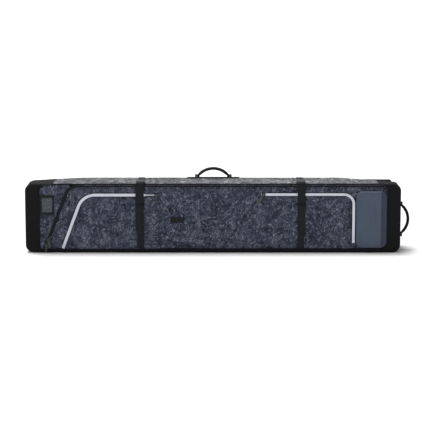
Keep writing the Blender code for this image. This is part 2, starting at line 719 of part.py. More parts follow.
def wheel(name, z):
    x, y = WHEEL
    low, high = housing_box(z)
    housing = box(f"wheel_housing_{name}", low, high, "plastic")
    slot = WHEEL_WIDTH / 2 + WHEEL_PLAY
    cut(housing,
        box(f"{name}_slot_cutter", (LEFT - 0.01, low.y + HOUSING_WALL, z - slot),
            (high.x - HOUSING_SKIN, BACK + 0.02, z + slot)),
        cylinder(f"{name}_axle_cutter", (x, y, z), AXLE_R + GAP, 2 * HOUSING.z, (0, 0, 1)))
    cylinder(f"wheel_axle_{name}", (x, y, z), AXLE_R, HOUSING.z - 0.001, (0, 0, 1), "steel")
    ring(f"wheel_hub_{name}", (x, y, z), AXLE_R + GAP, HUB_R, WHEEL_WIDTH / 2, "plastic")
    ring(f"wheel_tyre_{name}", (x, y, z), HUB_R + GAP, WHEEL_R, WHEEL_WIDTH / 2, "rubber",
         TYRE_ROUNDING)


def stiffener():
    """Plastic board inside the wheel end, between the housings and the front."""
    from_front, back, low, high, thick = BOARD
    outline = [(FRONT + from_front, low), (back, low), (back, high), (FRONT + from_front, high)]
    inside = LEFT + WALL + 2 * GAP
    plate("end_stiffener_board", [outline], inside, inside + thick, "plastic", "X")


def build():
    path = main_zip_path()
    end_caps()
    gussets_and_back()
    front_left_panel(path)
    zip_garage(path)
    main_zip(path)
    id_window()
    lid_panels(path)
    pockets()
    for side, (x, tail_x) in STRAPS.items():
        strap(side, x, tail_x)
        buckle(side, x)
        inner_strap(side, x)
    handles()
    sliders()
    for name, z in WHEEL_Z.items():
        wheel(name, z)
    stiffener()


build()
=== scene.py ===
import json
import math

import bmesh
import bpy
import numpy as np
from mathutils import Matrix, Vector, noise
from mathutils.geometry import delaunay_2d_cdt
from mathutils.kdtree import KDTree

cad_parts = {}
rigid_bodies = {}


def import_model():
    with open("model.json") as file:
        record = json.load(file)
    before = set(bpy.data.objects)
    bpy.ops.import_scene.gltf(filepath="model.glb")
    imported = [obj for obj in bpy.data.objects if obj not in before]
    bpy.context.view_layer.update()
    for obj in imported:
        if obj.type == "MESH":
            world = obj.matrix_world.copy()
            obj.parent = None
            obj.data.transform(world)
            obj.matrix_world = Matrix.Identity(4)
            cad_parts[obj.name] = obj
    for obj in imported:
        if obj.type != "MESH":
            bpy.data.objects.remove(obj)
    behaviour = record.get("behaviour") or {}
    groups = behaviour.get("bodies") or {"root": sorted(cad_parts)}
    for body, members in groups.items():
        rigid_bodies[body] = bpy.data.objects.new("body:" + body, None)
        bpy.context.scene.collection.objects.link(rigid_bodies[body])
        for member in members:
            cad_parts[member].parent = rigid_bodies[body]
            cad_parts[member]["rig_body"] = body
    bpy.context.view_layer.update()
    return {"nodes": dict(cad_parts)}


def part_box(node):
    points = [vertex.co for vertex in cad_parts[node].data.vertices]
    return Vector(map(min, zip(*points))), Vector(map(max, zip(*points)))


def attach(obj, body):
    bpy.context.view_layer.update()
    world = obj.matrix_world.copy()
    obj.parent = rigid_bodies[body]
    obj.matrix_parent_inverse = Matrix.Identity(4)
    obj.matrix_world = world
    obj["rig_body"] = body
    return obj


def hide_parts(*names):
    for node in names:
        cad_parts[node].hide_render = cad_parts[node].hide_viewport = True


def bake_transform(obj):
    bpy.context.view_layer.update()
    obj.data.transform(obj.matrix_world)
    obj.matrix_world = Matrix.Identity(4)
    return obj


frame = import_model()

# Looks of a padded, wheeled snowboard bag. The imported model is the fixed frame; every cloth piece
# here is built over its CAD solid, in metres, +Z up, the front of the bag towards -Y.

# Size of the bag, as in the frame
LEFT, RIGHT, HEIGHT = -0.910, 0.910, 0.340
FRONT, BACK = -0.100, 0.100
WALL, GAP, CORNER = 0.0035, 0.0003, 0.038
FACE_LEFT, FACE_RIGHT, FACE_BOTTOM, FACE_TOP = -0.840, 0.8447, 0.018, 0.3338
FACE_CORNER, FOOT_CORNER = 0.035, 0.010
CAP_LEFT, CAP_RIGHT = -0.775, 0.805
ROLL = 0.009                       # rounding of the long edges of the shell

# Zips, as in the frame
ZIP_HALF, ZIP_TOP, ZIP_BEND = 0.0067, 0.3268, 0.055
ZIP_START, ZIP_LEAN = Vector((-0.8195, 0.012)), math.tan(math.radians(21.5))
ZIP_RIGHT = FACE_RIGHT - ZIP_HALF - GAP
LID_FROM, HINGE_Z = 0.080, 0.0188
LID_EDGE = ZIP_HALF + 2 * GAP
LID_FOOT = Vector((-0.7690, HINGE_Z + 0.0007))
TRIM = FRONT - 0.0020
POCKET_FOOT = 0.0225
POCKET_1 = ((-0.7284, POCKET_FOOT), (-0.6305, 0.2842), (-0.262, 0.2842))
POCKET_2 = ((0.232, 0.2867), (0.681, 0.2867), (0.681, 0.049))
POCKET_1_ZIP, POCKET_2_ZIP = 0.0170, 0.0140
POCKET_1_BEND, POCKET_2_BEND = 0.086, 0.047
POCKET_FOLD = 0.8155                # where the end pocket folds over its side
POCKET_2_SEAM = ((0.227, 0.279), (0.044, POCKET_FOOT))
END_POCKET = (0.6925, 0.8420, 0.0245, 0.3040)
LABEL = (-0.2057, -0.1404, 0.147, 0.1764)
WINDOW = (-0.838, -0.768, 0.186, 0.284)
STRAPS = {"left": (-0.3508, -0.3590), "right": (0.4250, 0.4308)}
STRAP_WIDTH, STRAP_PLANE, STRAP_CREST = 0.032, -0.1053, 0.3461
LOOP_RADIUS, TAIL_SLANT, GRIP_STEPS = 0.0075, 0.026, 24
STITCH_FOOT = 0.0260               # stitches below it would enter the bottom strip of an open lid
TOP_LOOP, END_LOOP, PIN_TO_EAR_TOP = (0.0745, 0.036), (0.070, 0.0340), 0.0065
WHEEL_X, WHEEL_Y = -0.868, 0.088
WHEEL_Z = {"lower": 0.064, "upper": 0.276}
WHEEL_RADIUS, WHEEL_HALF, SPOKES = 0.036, 0.012, 6
RIM_X, RIM_HALF, RIM_PROUD = (-0.9086, -0.8175), 0.0335, 0.0028
OPENING_X, OPENING_HALF = (-0.9046, -0.8295), 0.0140
SCREWS_X, SCREW_REACH = -0.8630, (0.0385, 0.0235)

# Planes that stitches lie in, and the radii of the cords sewn along the edges
SEAM_PLANE, POCKET_PLANE = FRONT - 0.0001, TRIM + 0.0003
BACK_PIPING, TOP_PIPING, RING_PIPING, FACE_PIPING, SEAM_CORD = 0.0022, 0.0032, 0.0018, 0.0019, 0.0011
HINGE_STRIP, HINGE_STITCH_Z = (0.0150, 0.0232), 0.0245
BLOWN_SHARE = 0.75                 # the simulation's share of the front's swell
END_POCKET_RISE, END_POCKET_ROLL, FOLD_DEPTH, FOLD_WIDTH = 0.0112, 0.0095, 0.0050, 0.0032

SEED = Vector((3.1, 7.7, 1.9))     # where in the noise the creases are taken from


# ---------------------------------------------------------------- outlines

def corner_arc(before, corner, after, radius, steps=8):
    to_before, to_after = (before - corner).normalized(), (after - corner).normalized()
    opening = to_before.angle(to_after)
    centre = corner + (to_before + to_after).normalized() * radius / math.sin(opening / 2)
    start = corner + to_before * radius / math.tan(opening / 2) - centre
    turn = (math.pi - opening) * (1 if to_before.cross(to_after) < 0 else -1)
    return [centre + Matrix.Rotation(turn * i / steps, 2) @ start for i in range(steps + 1)]


def rounded(corners, closed=True):
    """A line through (across, up, radius) corners, each rounded by its radius."""
    points, count = [], len(corners)
    for i, (u, v, radius) in enumerate(corners):
        here = Vector((u, v))
        if radius == 0 or (not closed and i in (0, count - 1)):
            points.append(here)
        else:
            before, after = Vector(corners[i - 1][:2]), Vector(corners[(i + 1) % count][:2])
            points += corner_arc(before, here, after, radius)
    return points


def rectangle(u0, u1, v0, v1, radius=0.0):
    return rounded([(u0, v0, radius), (u1, v0, radius), (u1, v1, radius), (u0, v1, radius)])


def offset(path, distance):
    """The open line moved this far to its left."""
    moved = []
    for i, point in enumerate(path):
        ahead = path[min(i + 1, len(path) - 1)] - path[min(i, len(path) - 2)]
        behind = path[max(i, 1)] - path[max(i - 1, 0)]
        normals = [Vector((-d.y, d.x)).normalized() for d in (ahead, behind)]
        middle = (normals[0] + normals[1]).normalized()
        moved.append(point + middle * distance / middle.dot(normals[0]))
    return moved


def above(path, height):
    for i in range(1, len(path)):
        if path[i].y > height:
            low, high = path[i - 1], path[i]
            return [low.lerp(high, (height - low.y) / (high.y - low.y))] + path[i:]
    return []


def even(path, spacing):
    """The same line with its long stretches divided, its corners kept."""
    points = [path[0]]
    for a, b in zip(path, path[1:]):
        parts = max(1, math.ceil((b - a).length / spacing))
        points += [a.lerp(b, (i + 1) / parts) for i in range(parts)]
    return points


def main_zip_line():
    top = ZIP_START + Vector((ZIP_LEAN, 1.0)) * (ZIP_TOP - ZIP_START.y)
    return rounded([(*ZIP_START, 0), (*top, ZIP_BEND),
                    (ZIP_RIGHT, ZIP_TOP, FACE_CORNER - ZIP_HALF),
                    (ZIP_RIGHT, FACE_BOTTOM + FACE_CORNER, 0)], closed=False)


def lid_outline(inset):
    edge = offset(above(main_zip_line(), LID_FROM), -inset)
    margin = inset - LID_EDGE
    right = edge[-1].x
    return edge + rounded([
        (right, edge[-1].y, 0), (right, LID_FOOT.y + margin, FACE_CORNER - inset),
        (LID_FOOT.x + margin, LID_FOOT.y + margin, 0)], closed=False)[1:]


def left_panel_outline():
    edge = offset(main_zip_line(), LID_EDGE)
    foot = edge[0].lerp(edge[1], (FACE_BOTTOM - edge[0].y) / (edge[1].y - edge[0].y))
    edge = [p for p in edge if FACE_BOTTOM + 0.002 < p.y < ZIP_TOP and p.x < 0]
    return rounded([(edge[-1].x, FACE_TOP, 0), (FACE_LEFT, FACE_TOP, FACE_CORNER),
                    (FACE_LEFT, FACE_BOTTOM, FOOT_CORNER), (foot.x, FACE_BOTTOM, 0)],
                   closed=False) + edge


def garage_outline():
    zip_line = main_zip_line()
    along = (zip_line[1] - zip_line[0]).normalized()
    left = offset(zip_line, -GAP)[0]
    foot = left + along * (FACE_BOTTOM + GAP - left.y) / along.y
    clear = 3 * GAP
    head = offset(above(zip_line, LID_FROM), -GAP)[0] - along * clear
    shoulder = offset(above(zip_line, LID_FROM), -LID_EDGE)[0] - along * clear
    return [foot, Vector((LID_FOOT.x - clear, foot.y)), shoulder - Vector((clear, 0)), head]


def bent_line(start, corner, end, bend):
    return rounded([(*start, 0), (*corner, bend), (*end, 0)], closed=False)


def pocket_1_line():
    return bent_line(*POCKET_1, POCKET_1_BEND)


def pocket_2_line():
    return bent_line(*POCKET_2, POCKET_2_BEND)


def pocket_1_outline():
    inner = offset(pocket_1_line(), -POCKET_1_ZIP / 2 - GAP)
    return inner + [Vector((POCKET_1[2][0], inner[0].y))]


def pocket_2_outline():
    inner = offset(pocket_2_line(), -POCKET_2_ZIP / 2 - GAP)
    foot = POCKET_1[0][1]
    return [Vector((0.227, inner[0].y))] + inner + [Vector((inner[-1].x, foot)),
                                                   Vector((0.044, foot))]


def bag_outline(inner):
    """The end of the bag seen from the front, from its top inner corner round to the bottom."""
    outer = LEFT if inner < 0 else RIGHT
    return rounded([(inner, HEIGHT, 0), (outer, HEIGHT, CORNER), (outer, 0, CORNER),
                    (inner, 0, 0)], closed=False)


# ---------------------------------------------------------------- measuring

def segment_ends(lines, closed):
    starts, ends = [], []
    for line in lines:
        points = np.array([tuple(p)[:2] for p in line])
        following = np.roll(points, -1, axis=0)
        if not closed:
            points, following = points[:-1], following[:-1]
        starts.append(points)
        ends.append(following)
    return np.vstack(starts), np.vstack(ends)


def distance_to(points, lines, closed=True):
    """Distance of each point from the nearest of these lines."""
    a, b = segment_ends(lines, closed)
    along = b - a
    length2 = np.maximum((along ** 2).sum(1), 1e-12)
    nearest = np.empty(len(points))
    for first in range(0, len(points), 2000):
        p = points[first:first + 2000, None, :]
        t = np.clip(((p - a) * along).sum(2) / length2, 0, 1)
        gap = p - (a + t[..., None] * along)
        nearest[first:first + 2000] = np.sqrt((gap ** 2).sum(2)).min(1)
    return nearest


def inside(points, loops):
    a, b = segment_ends(loops, True)
    hit = np.zeros(len(points), bool)
    for (ax, ay), (bx, by) in zip(a, b):
        if ay == by:
            continue
        crosses = (ay > points[:, 1]) != (by > points[:, 1])
        hit ^= crosses & (points[:, 0] < (bx - ax) * (points[:, 1] - ay) / (by - ay) + ax)
    return hit


def smooth_step(values, low, high):
    t = np.clip((values - low) / (high - low), 0, 1)
    return t * t * (3 - 2 * t)


def creases(points, size, stretch=(1.0, 1.0, 1.0)):
    """Soft noise from -1 to 1 at each 3-D point, in folds of about this size."""
    scale = [s / size for s in stretch]
    return np.array([noise.fractal(Vector((p[0] * scale[0], p[1] * scale[1], p[2] * scale[2]))
                                   + SEED, 1.0, 2.0, 3) for p in points])


def taper(points):
    """The back of the top edge sinks towards both ends, where the bag is less full."""
    x, y, z = points[:, 0], points[:, 1], points[:, 2]
    drop = 0.015 * smooth_step(-x, 0.62, 0.93) + 0.021 * smooth_step(x, 0.58, 0.90)
    depth = np.clip((y - FRONT) / (BACK - FRONT), 0, 1)
    high = np.clip((z - 0.304) / (HEIGHT - 0.304), 0, 1) ** 1.4
    moved = points.copy()
    moved[:, 2] = z - drop * depth * high
    return moved


# ---------------------------------------------------------------- meshes

def filled(outline, spacing, holes=(), rings=()):
    """Triangles filling an outline: points, triangles, and each point's distance from the edge."""
    loops = []
    for loop in (outline, *holes):
        loops.append(even(list(loop) + [loop[0]], spacing)[:-1])
    border = np.array([tuple(p) for loop in loops for p in loop])
    edges, first = [], 0
    for loop in loops:
        edges += [(first + i, first + (i + 1) % len(loop)) for i in range(len(loop))]
        first += len(loop)
    starts, ends = segment_ends(loops, True)
    middle, along = (starts + ends) / 2, ends - starts
    across = np.stack([-along[:, 1], along[:, 0]], 1)
    across /= np.maximum(np.linalg.norm(across, axis=1), 1e-9)[:, None]
    extra = []
    for ring in rings:
        for side in (1, -1):
            near = middle + across * ring * side
            near = near[inside(near, loops)]
            if len(near):
                extra.append(near[distance_to(near, loops) > 0.85 * ring])
    low, high = border.min(0), border.max(0)
    rows = np.arange(low[1], high[1], spacing * 0.87)
    grid = [(x + (spacing / 2 if i % 2 else 0), z) for i, z in enumerate(rows)
            for x in np.arange(low[0], high[0], spacing)]
    grid = np.array(grid)
    grid = grid[inside(grid, loops)]
    reach = max([0.5 * spacing] + [r + 0.45 * spacing for r in rings])
    if len(grid):
        extra.append(grid[distance_to(grid, loops) > reach])
    points = np.vstack([border, *extra])
    made = delaunay_2d_cdt([Vector(p) for p in points], edges, [], 0, 1e-7)
    points = np.array([tuple(p) for p in made[0]])
    triangles = np.array(made[2])
    triangles = triangles[inside(points[triangles].mean(1), loops)]
    used = np.unique(triangles)
    new_number = np.full(len(points), -1)
    new_number[used] = np.arange(len(used))
    points = points[used]
    return points, new_number[triangles], distance_to(points, loops)


def add_piece(name, points, faces, sharp=None):
    mesh = bpy.data.meshes.new(name)
    mesh.from_pydata([tuple(p) for p in points], [], [tuple(int(i) for i in f) for f in faces])
    piece = bpy.data.objects.new(name, mesh)
    bpy.context.scene.collection.objects.link(piece)
    turn_outwards(piece)
    shade(piece, sharp)
    return piece


def turn_outwards(piece, join_within=1e-6):
    work = bmesh.new()
    work.from_mesh(piece.data)
    bmesh.ops.remove_doubles(work, verts=work.verts, dist=join_within)
    bmesh.ops.recalc_face_normals(work, faces=work.faces)
    work.to_mesh(piece.data)
    work.free()


def shade(piece, sharp=None):
    piece.data.polygons.foreach_set("use_smooth", [True] * len(piece.data.polygons))
    if sharp:
        piece.data.set_sharp_from_angle(angle=math.radians(sharp))


def settled(piece):
    """The piece with its modifiers made part of its mesh."""
    bpy.context.view_layer.update()
    graph = bpy.context.evaluated_depsgraph_get()
    mesh = bpy.data.meshes.new_from_object(piece.evaluated_get(graph))
    piece.modifiers.clear()
    if piece.type == "MESH":
        piece.data = mesh
        return piece
    name = piece.name
    bpy.data.objects.remove(piece)
    made = bpy.data.objects.new(name, mesh)
    bpy.context.scene.collection.objects.link(made)
    return made


def closed_body(name, flat, outer, inner, place, sharp=None):
    """A closed body on a filled outline, between an outer and an inner height."""
    points, triangles, _ = flat
    count = len(points)
    outer_points = place(points[:, 0], points[:, 1], outer)
    inner_points = place(points[:, 0], points[:, 1], inner)
    seen = {}
    for a, b, c in triangles:
        for edge in ((a, b), (b, c), (c, a)):
            seen[edge] = True
    rim = [(a, b) for a, b in seen if (b, a) not in seen]
    walls = [(b, a, a + count, b + count) for a, b in rim]
    faces = [tuple(t) for t in triangles] + [tuple(t[::-1] + count) for t in triangles] + walls
    return add_piece(name, np.vstack([outer_points, inner_points]), faces, sharp)


def slab_faces(long, wide):
    """Faces of a solid between a front and a back grid of `long` by `wide` points."""
    faces, shift = [], long * wide
    for i in range(long - 1):
        for k in range(wide - 1):
            a, b = i * wide + k, (i + 1) * wide + k
            faces.append((a, b, b + 1, a + 1))
            faces.append((a + shift, a + 1 + shift, b + 1 + shift, b + shift))
    for i in range(long - 1):
        for a in (i * wide, i * wide + wide - 1):
            faces.append((a, a + wide, a + wide + shift, a + shift))
    for k in range(wide - 1):
        for a in (k, (long - 1) * wide + k):
            faces.append((a, a + 1, a + 1 + shift, a + shift))
    return faces


def rolled(distance, radius):
    """How far a rounded edge falls away at this distance from it."""
    short = np.clip(radius - distance, 0, radius)
    return radius - np.sqrt(np.maximum(radius ** 2 - short ** 2, 0))


def facing_front(u, v, height):
    return np.stack([u, -height, v], 1)


def facing_back(u, v, height):
    return np.stack([u, height, v], 1)


def facing_up(u, v, height):
    return np.stack([u, v, height], 1)


def facing_right(u, v, height):
    return np.stack([height, u, v], 1)


def cloth_panel(name, outline, out, back, edge, spacing=0.010, holes=(), swell=True, sharp=None):
    """A sewn panel on the front: its face at -Y `out`, its back at -Y `back`."""
    flat = filled(outline, spacing, holes, rings=[edge * k for k in (0.15, 0.4, 0.7, 1.0)])
    lift = FRONT_SWELL(flat[0]) if swell else 0.0
    face = -out - rolled(flat[2], edge) + lift
    return closed_body(name, flat, face, np.full(len(flat[0]), -back) + lift, facing_front, sharp)


def sweep(name, path, across, outward, profile, closed_ends=True, sharp=None, grow=None):
    """A profile of (across, outward) points carried along a path, with a UV map in metres."""
    count = len(profile)
    points, faces, uvs = [], [], []
    length = 0.0
    lengths = []
    for i, place in enumerate(path):
        if i:
            length += (path[i] - path[i - 1]).length
        lengths.append(length)
        wide, thick = grow(i / (len(path) - 1)) if grow else (1.0, 1.0)
        for u, w in profile:
            points.append(place + across[i] * u * wide + outward[i] * w * thick)
    girth = [0.0]
    for (u0, w0), (u1, w1) in zip(profile, profile[1:] + profile[:1]):
        girth.append(girth[-1] + math.hypot(u1 - u0, w1 - w0))
    for i in range(len(path) - 1):
        for k in range(count):
            n = (k + 1) % count
            faces.append((i * count + k, i * count + n, (i + 1) * count + n, (i + 1) * count + k))
            uvs += [(girth[k], lengths[i]), (girth[k + 1], lengths[i]),
                    (girth[k + 1], lengths[i + 1]), (girth[k], lengths[i + 1])]
    if closed_ends:
        faces.append(tuple(range(count))[::-1])
        faces.append(tuple(range((len(path) - 1) * count, len(path) * count)))
        uvs += [(profile[k][0], 0.0) for k in range(count)][::-1]
        uvs += [(profile[k][0], length) for k in range(count)]
    mesh = bpy.data.meshes.new(name)
    mesh.from_pydata([tuple(p) for p in points], [], faces)
    layer = mesh.uv_layers.new(name="weave")
    layer.data.foreach_set("uv", [value for uv in uvs for value in uv])
    piece = bpy.data.objects.new(name, mesh)
    bpy.context.scene.collection.objects.link(piece)
    turn_outwards(piece)
    shade(piece, sharp)
    return piece


def webbing_profile(width, thick, steps=3):
    """A flat strap's section, its two edges rounded, its faces divided."""
    half, r = width / 2, thick / 2
    points = []
    for side in (1, -1):
        for i in range(steps + 1):
            turn = math.pi * (0.5 - i / steps)
            points.append((side * (half - r + r * math.cos(turn)), side * r * math.sin(turn)))
        points.append((0.0, -side * r))
    return points


def oval_profile(wide, thick, steps=16):
    return [(wide * math.cos(2 * math.pi * i / steps), thick * math.sin(2 * math.pi * i / steps))
            for i in range(steps)]


def front_path(line, height, spacing=0.010):
    """A line on the front of the bag as 3-D points, its sideways and its outward directions."""
    line = even(line, spacing)
    flat = np.array([tuple(p) for p in line])
    lift = FRONT_SWELL(flat)
    path = [Vector((p.x, height - up, p.y)) for p, up in zip(line, lift)]
    side = [(b - a).normalized() for a, b in zip(line, offset(line, 0.001))]
    across = [Vector((s.x, 0, s.y)) for s in side]
    return path, across, [Vector((0, -1, 0))] * len(path)


def cad_copy(name, node, bevel=0.0, cut_below=None, segments=2, sharp=35):
    """A piece with a CAD node's own shape and softened edges."""
    work = bmesh.new()
    work.from_mesh(frame["nodes"][node].data)
    bmesh.ops.remove_doubles(work, verts=work.verts, dist=2e-5)
    bmesh.ops.dissolve_limit(work, angle_limit=math.radians(1.0), verts=work.verts,
                             edges=work.edges)
    if cut_below:
        everything = work.verts[:] + work.edges[:] + work.faces[:]
        cut = bmesh.ops.bisect_plane(work, geom=everything, plane_co=cut_below[0],
                                     plane_no=cut_below[1], clear_inner=True)
        rim = [e for e in cut["geom_cut"] if isinstance(e, bmesh.types.BMEdge)]
        bmesh.ops.holes_fill(work, edges=rim)
    mesh = bpy.data.meshes.new(name)
    work.to_mesh(mesh)
    work.free()
    piece = bpy.data.objects.new(name, mesh)
    bpy.context.scene.collection.objects.link(piece)
    if bevel:
        rounding = piece.modifiers.new("worn edges", "BEVEL")
        rounding.width = bevel
        rounding.segments = segments
        rounding.limit_method = "ANGLE"
        rounding.angle_limit = math.radians(35)
        settled(piece)
    shade(piece, sharp)
    return piece


def joined(name, pieces):
    """Several built meshes as one piece."""
    work = bmesh.new()
    for piece in pieces:
        work.from_mesh(piece.data)
        bpy.data.objects.remove(piece)
    mesh = bpy.data.meshes.new(name)
    work.to_mesh(mesh)
    work.free()
    made = bpy.data.objects.new(name, mesh)
    bpy.context.scene.collection.objects.link(made)
    return made


# ---------------------------------------------------------------- materials

def wire(tree, kind, inputs=None, **settings):
    """Adds a shader node; each input is given a value or another node's output."""
    made = tree.nodes.new("ShaderNode" + kind)
    for name, value in settings.items():
        setattr(made, name, value)
    for socket, value in (inputs or {}).items():
        if isinstance(value, bpy.types.NodeSocket):
            tree.links.new(value, made.inputs[socket])
        else:
            made.inputs[socket].default_value = value
    return made


def maths(tree, operation, *values):
    return wire(tree, "Math", dict(enumerate(values)), operation=operation).outputs[0]


def blended(tree, share, first, second):
    mixed = wire(tree, "Mix", data_type="RGBA")
    for socket, value in zip((mixed.inputs[0], mixed.inputs[6], mixed.inputs[7]),
                             (share, first, second)):
        if isinstance(value, bpy.types.NodeSocket):
            tree.links.new(value, socket)
        else:
            socket.default_value = value if socket is mixed.inputs[0] else (*value, 1.0)
    return mixed.outputs[2]


def remap(tree, value, low, high, to_low=0.0, to_high=1.0):
    return wire(tree, "MapRange", {0: value, 1: low, 2: high, 3: to_low, 4: to_high},
                clamp=True).outputs[0]


def cloudy(tree, where, scale, detail=2.0, roughness=0.5, distortion=0.0):
    return wire(tree, "TexNoise", {"Vector": where, "Scale": scale, "Detail": detail,
                                   "Roughness": roughness, "Distortion": distortion}).outputs[0]


def new_material(name, roughness, **uniform):
    """A material with its uniform values on the shader's own sockets, and its Object coordinates."""
    material = bpy.data.materials.new(name)
    material.use_nodes = True
    tree = material.node_tree
    shader = tree.nodes["Principled BSDF"]
    shader.inputs["Roughness"].default_value = roughness
    for socket, value in uniform.items():
        shader.inputs[socket.replace("_", " ")].default_value = value
    place = tree.nodes.new("ShaderNodeTexCoord").outputs["Object"]
    return material, tree, shader, place


def raise_surface(tree, shader, height, strength, distance):
    bump = wire(tree, "Bump", {"Strength": strength, "Distance": distance, "Height": height})
    tree.links.new(bump.outputs[0], shader.inputs["Normal"])


def threads(tree, where, pitch):
    """Crossed threads in every direction of the cloth, as a height from 0 to 1."""
    waves = [wire(tree, "TexWave", {"Vector": where, "Scale": 0.3142 / pitch,
                                    "Distortion": 0.4, "Detail": 1.0, "Detail Scale": 2.0},
                  bands_direction=axis).outputs[1] for axis in "XYZ"]
    return maths(tree, "MULTIPLY", maths(tree, "ADD", maths(tree, "ADD", waves[0], waves[1]),
                                         waves[2]), 0.3333)


def camo_material(name, dark, middle, pale, scratch, roughness, sheen, size=1.0):
    """Mottled print: soft patches, dark hollows, slanting curls and flecks; size scales it."""
    material, tree, shader, place = new_material(name, roughness, Sheen_Weight=sheen,
                                                 Sheen_Roughness=0.45,
                                                 Specular_IOR_Level=0.18)
    drift = wire(tree, "TexNoise", {"Vector": place, "Scale": 11.0, "Detail": 2.0})
    moved = wire(tree, "VectorMath", {0: drift.outputs[1], 1: (0.5, 0.5, 0.5)},
                 operation="SUBTRACT").outputs[0]
    moved = wire(tree, "VectorMath", {0: moved, 3: 0.05}, operation="SCALE").outputs[0]
    bent = wire(tree, "VectorMath", {0: place, 1: moved}, operation="ADD").outputs[0]
    patches = remap(tree, cloudy(tree, place, 8.0, 3.0, 0.6), 0.40, 0.60)
    colour = blended(tree, patches, dark, middle)
    mottle = remap(tree, cloudy(tree, bent, 52.0 / size, 3.0, 0.6, 0.5), 0.44, 0.59)
    colour = blended(tree, maths(tree, "MULTIPLY", mottle, 0.75), colour, pale)
    hollows = remap(tree, cloudy(tree, bent, 44.0 / size, 3.0, 0.6, 1.2), 0.46, 0.37)
    colour = blended(tree, maths(tree, "MULTIPLY", hollows, 0.90), colour,
                     tuple(c * 0.40 for c in dark))
    for turn, scale, reach in ((35.0, 30.0, 16.0), (-50.0, 42.0, 21.0)):
        slanted = wire(tree, "Mapping", {"Vector": bent, "Rotation": (0.0, math.radians(turn), 0.0),
                                         "Scale": (1.0, 1.0, 0.55)}).outputs[0]
        line = maths(tree, "ABSOLUTE", maths(tree, "SUBTRACT",
                                             cloudy(tree, slanted, scale / size, 3.0, 0.6, 1.6), 0.5))
        curls = remap(tree, line, 0.0, 0.028, 1.0, 0.0)
        where = remap(tree, cloudy(tree, place, reach, 2.0, 0.5), 0.50, 0.60)
        colour = blended(tree, maths(tree, "MULTIPLY", maths(tree, "MULTIPLY", curls, where),
                                     0.85), colour, scratch)
    flecks = remap(tree, cloudy(tree, bent, 85.0 / size, 2.0, 0.5, 0.8), 0.60, 0.66)
    colour = blended(tree, maths(tree, "MULTIPLY", flecks, 0.8), colour, scratch)
    tree.links.new(colour, shader.inputs["Base Color"])
    weave = threads(tree, place, 0.0013)
    folds = cloudy(tree, place, 24.0, 3.0, 0.5)
    height = maths(tree, "ADD", maths(tree, "MULTIPLY", weave, 0.10), folds)
    raise_surface(tree, shader, height, 0.35, 0.004)
    return material


def plain_cloth(name, colour, pale, roughness, pitch, sheen=0.1, depth=0.0012):
    """Woven cloth of one colour: threads, faint clouding, a paler rub, and painted shade in the low parts
    of the weave.
    """
    material, tree, shader, place = new_material(name, roughness, Sheen_Weight=sheen,
                                                 Sheen_Roughness=0.5,
                                                 Specular_IOR_Level=0.15)
    clouds = remap(tree, cloudy(tree, place, 16.0, 4.0, 0.6), 0.35, 0.70)
    rub = remap(tree, cloudy(tree, place, 90.0, 2.0, 0.6), 0.50, 0.75, 0.0, 0.5)
    mixed = blended(tree, maths(tree, "MULTIPLY", clouds, maths(tree, "ADD", rub, 0.4)),
                    colour, pale)
    weave = threads(tree, place, pitch)
    # Darker where the weave is low: painted shade between the threads.
    mixed = blended(tree, remap(tree, weave, 0.15, 0.5, 0.35, 0.0), mixed,
                    tuple(c * 0.4 for c in colour))
    tree.links.new(mixed, shader.inputs["Base Color"])
    folds = cloudy(tree, place, 30.0, 3.0, 0.5)
    height = maths(tree, "ADD", maths(tree, "MULTIPLY", weave, 0.25),
                   maths(tree, "MULTIPLY", folds, 0.8))
    raise_surface(tree, shader, height, 0.4, depth * 2.5)
    return material


def pocket_cloth_painted_side_shade(name, colour, pale, side):
    """Plain cloth whose strip past the end pocket's fold is darker: painted shade on the side of the
    pocket that turns away from the light.
    """
    material = plain_cloth(name, colour, pale, 0.75, 0.0012, 0.03, 0.0008)
    tree = material.node_tree
    shader = tree.nodes["Principled BSDF"]
    plain = shader.inputs["Base Color"].links[0].from_socket
    place = next(n for n in tree.nodes if n.type == "TEX_COORD").outputs["Object"]
    along = wire(tree, "SeparateXYZ", {0: place}).outputs[0]
    # The `side` colour past the fold is painted shade, not a different cloth.
    painted_shade_share = remap(tree, along, POCKET_FOLD - 0.0008, POCKET_FOLD + 0.0012, 0.0, 0.85)
    tree.links.new(blended(tree, painted_shade_share, plain, side), shader.inputs["Base Color"])
    return material


def webbing_material(name, colour, pale):
    """Ribbed webbing: ribs across the width and a finer cross thread, along its own UV map."""
    material, tree, shader, place = new_material(name, 0.62, Sheen_Weight=0.03,
                                                 Sheen_Roughness=0.4,
                                                 Specular_IOR_Level=0.2)
    along = wire(tree, "UVMap", uv_map="weave").outputs[0]
    ribs = wire(tree, "TexWave", {"Vector": along, "Scale": 0.3142 / 0.0024},
                bands_direction="X").outputs[1]
    picks = wire(tree, "TexWave", {"Vector": along, "Scale": 0.3142 / 0.0016},
                 bands_direction="Y").outputs[1]
    height = maths(tree, "ADD", maths(tree, "MULTIPLY", ribs, 0.7),
                   maths(tree, "MULTIPLY", picks, 0.3))
    worn = remap(tree, cloudy(tree, place, 45.0, 3.0), 0.4, 0.7, 0.0, 0.7)
    mixed = blended(tree, maths(tree, "MULTIPLY", worn, height), colour, pale)
    tree.links.new(mixed, shader.inputs["Base Color"])
    raise_surface(tree, shader, height, 0.5, 0.0008)
    return material


def silver_material(name):
    """Silvery reflective tape with a fine beaded face."""
    material, tree, shader, place = new_material(name, 0.42, Metallic=0.15,
                                                 Specular_IOR_Level=0.6)
    beads = wire(tree, "TexVoronoi", {"Vector": place, "Scale": 900.0}).outputs[0]
    tone = remap(tree, cloudy(tree, place, 20.0, 3.0), 0.3, 0.7)
    tree.links.new(blended(tree, tone, (0.47, 0.48, 0.56), (0.58, 0.59, 0.67)),
                   shader.inputs["Base Color"])
    raise_surface(tree, shader, beads, 0.25, 0.0003)
    return material


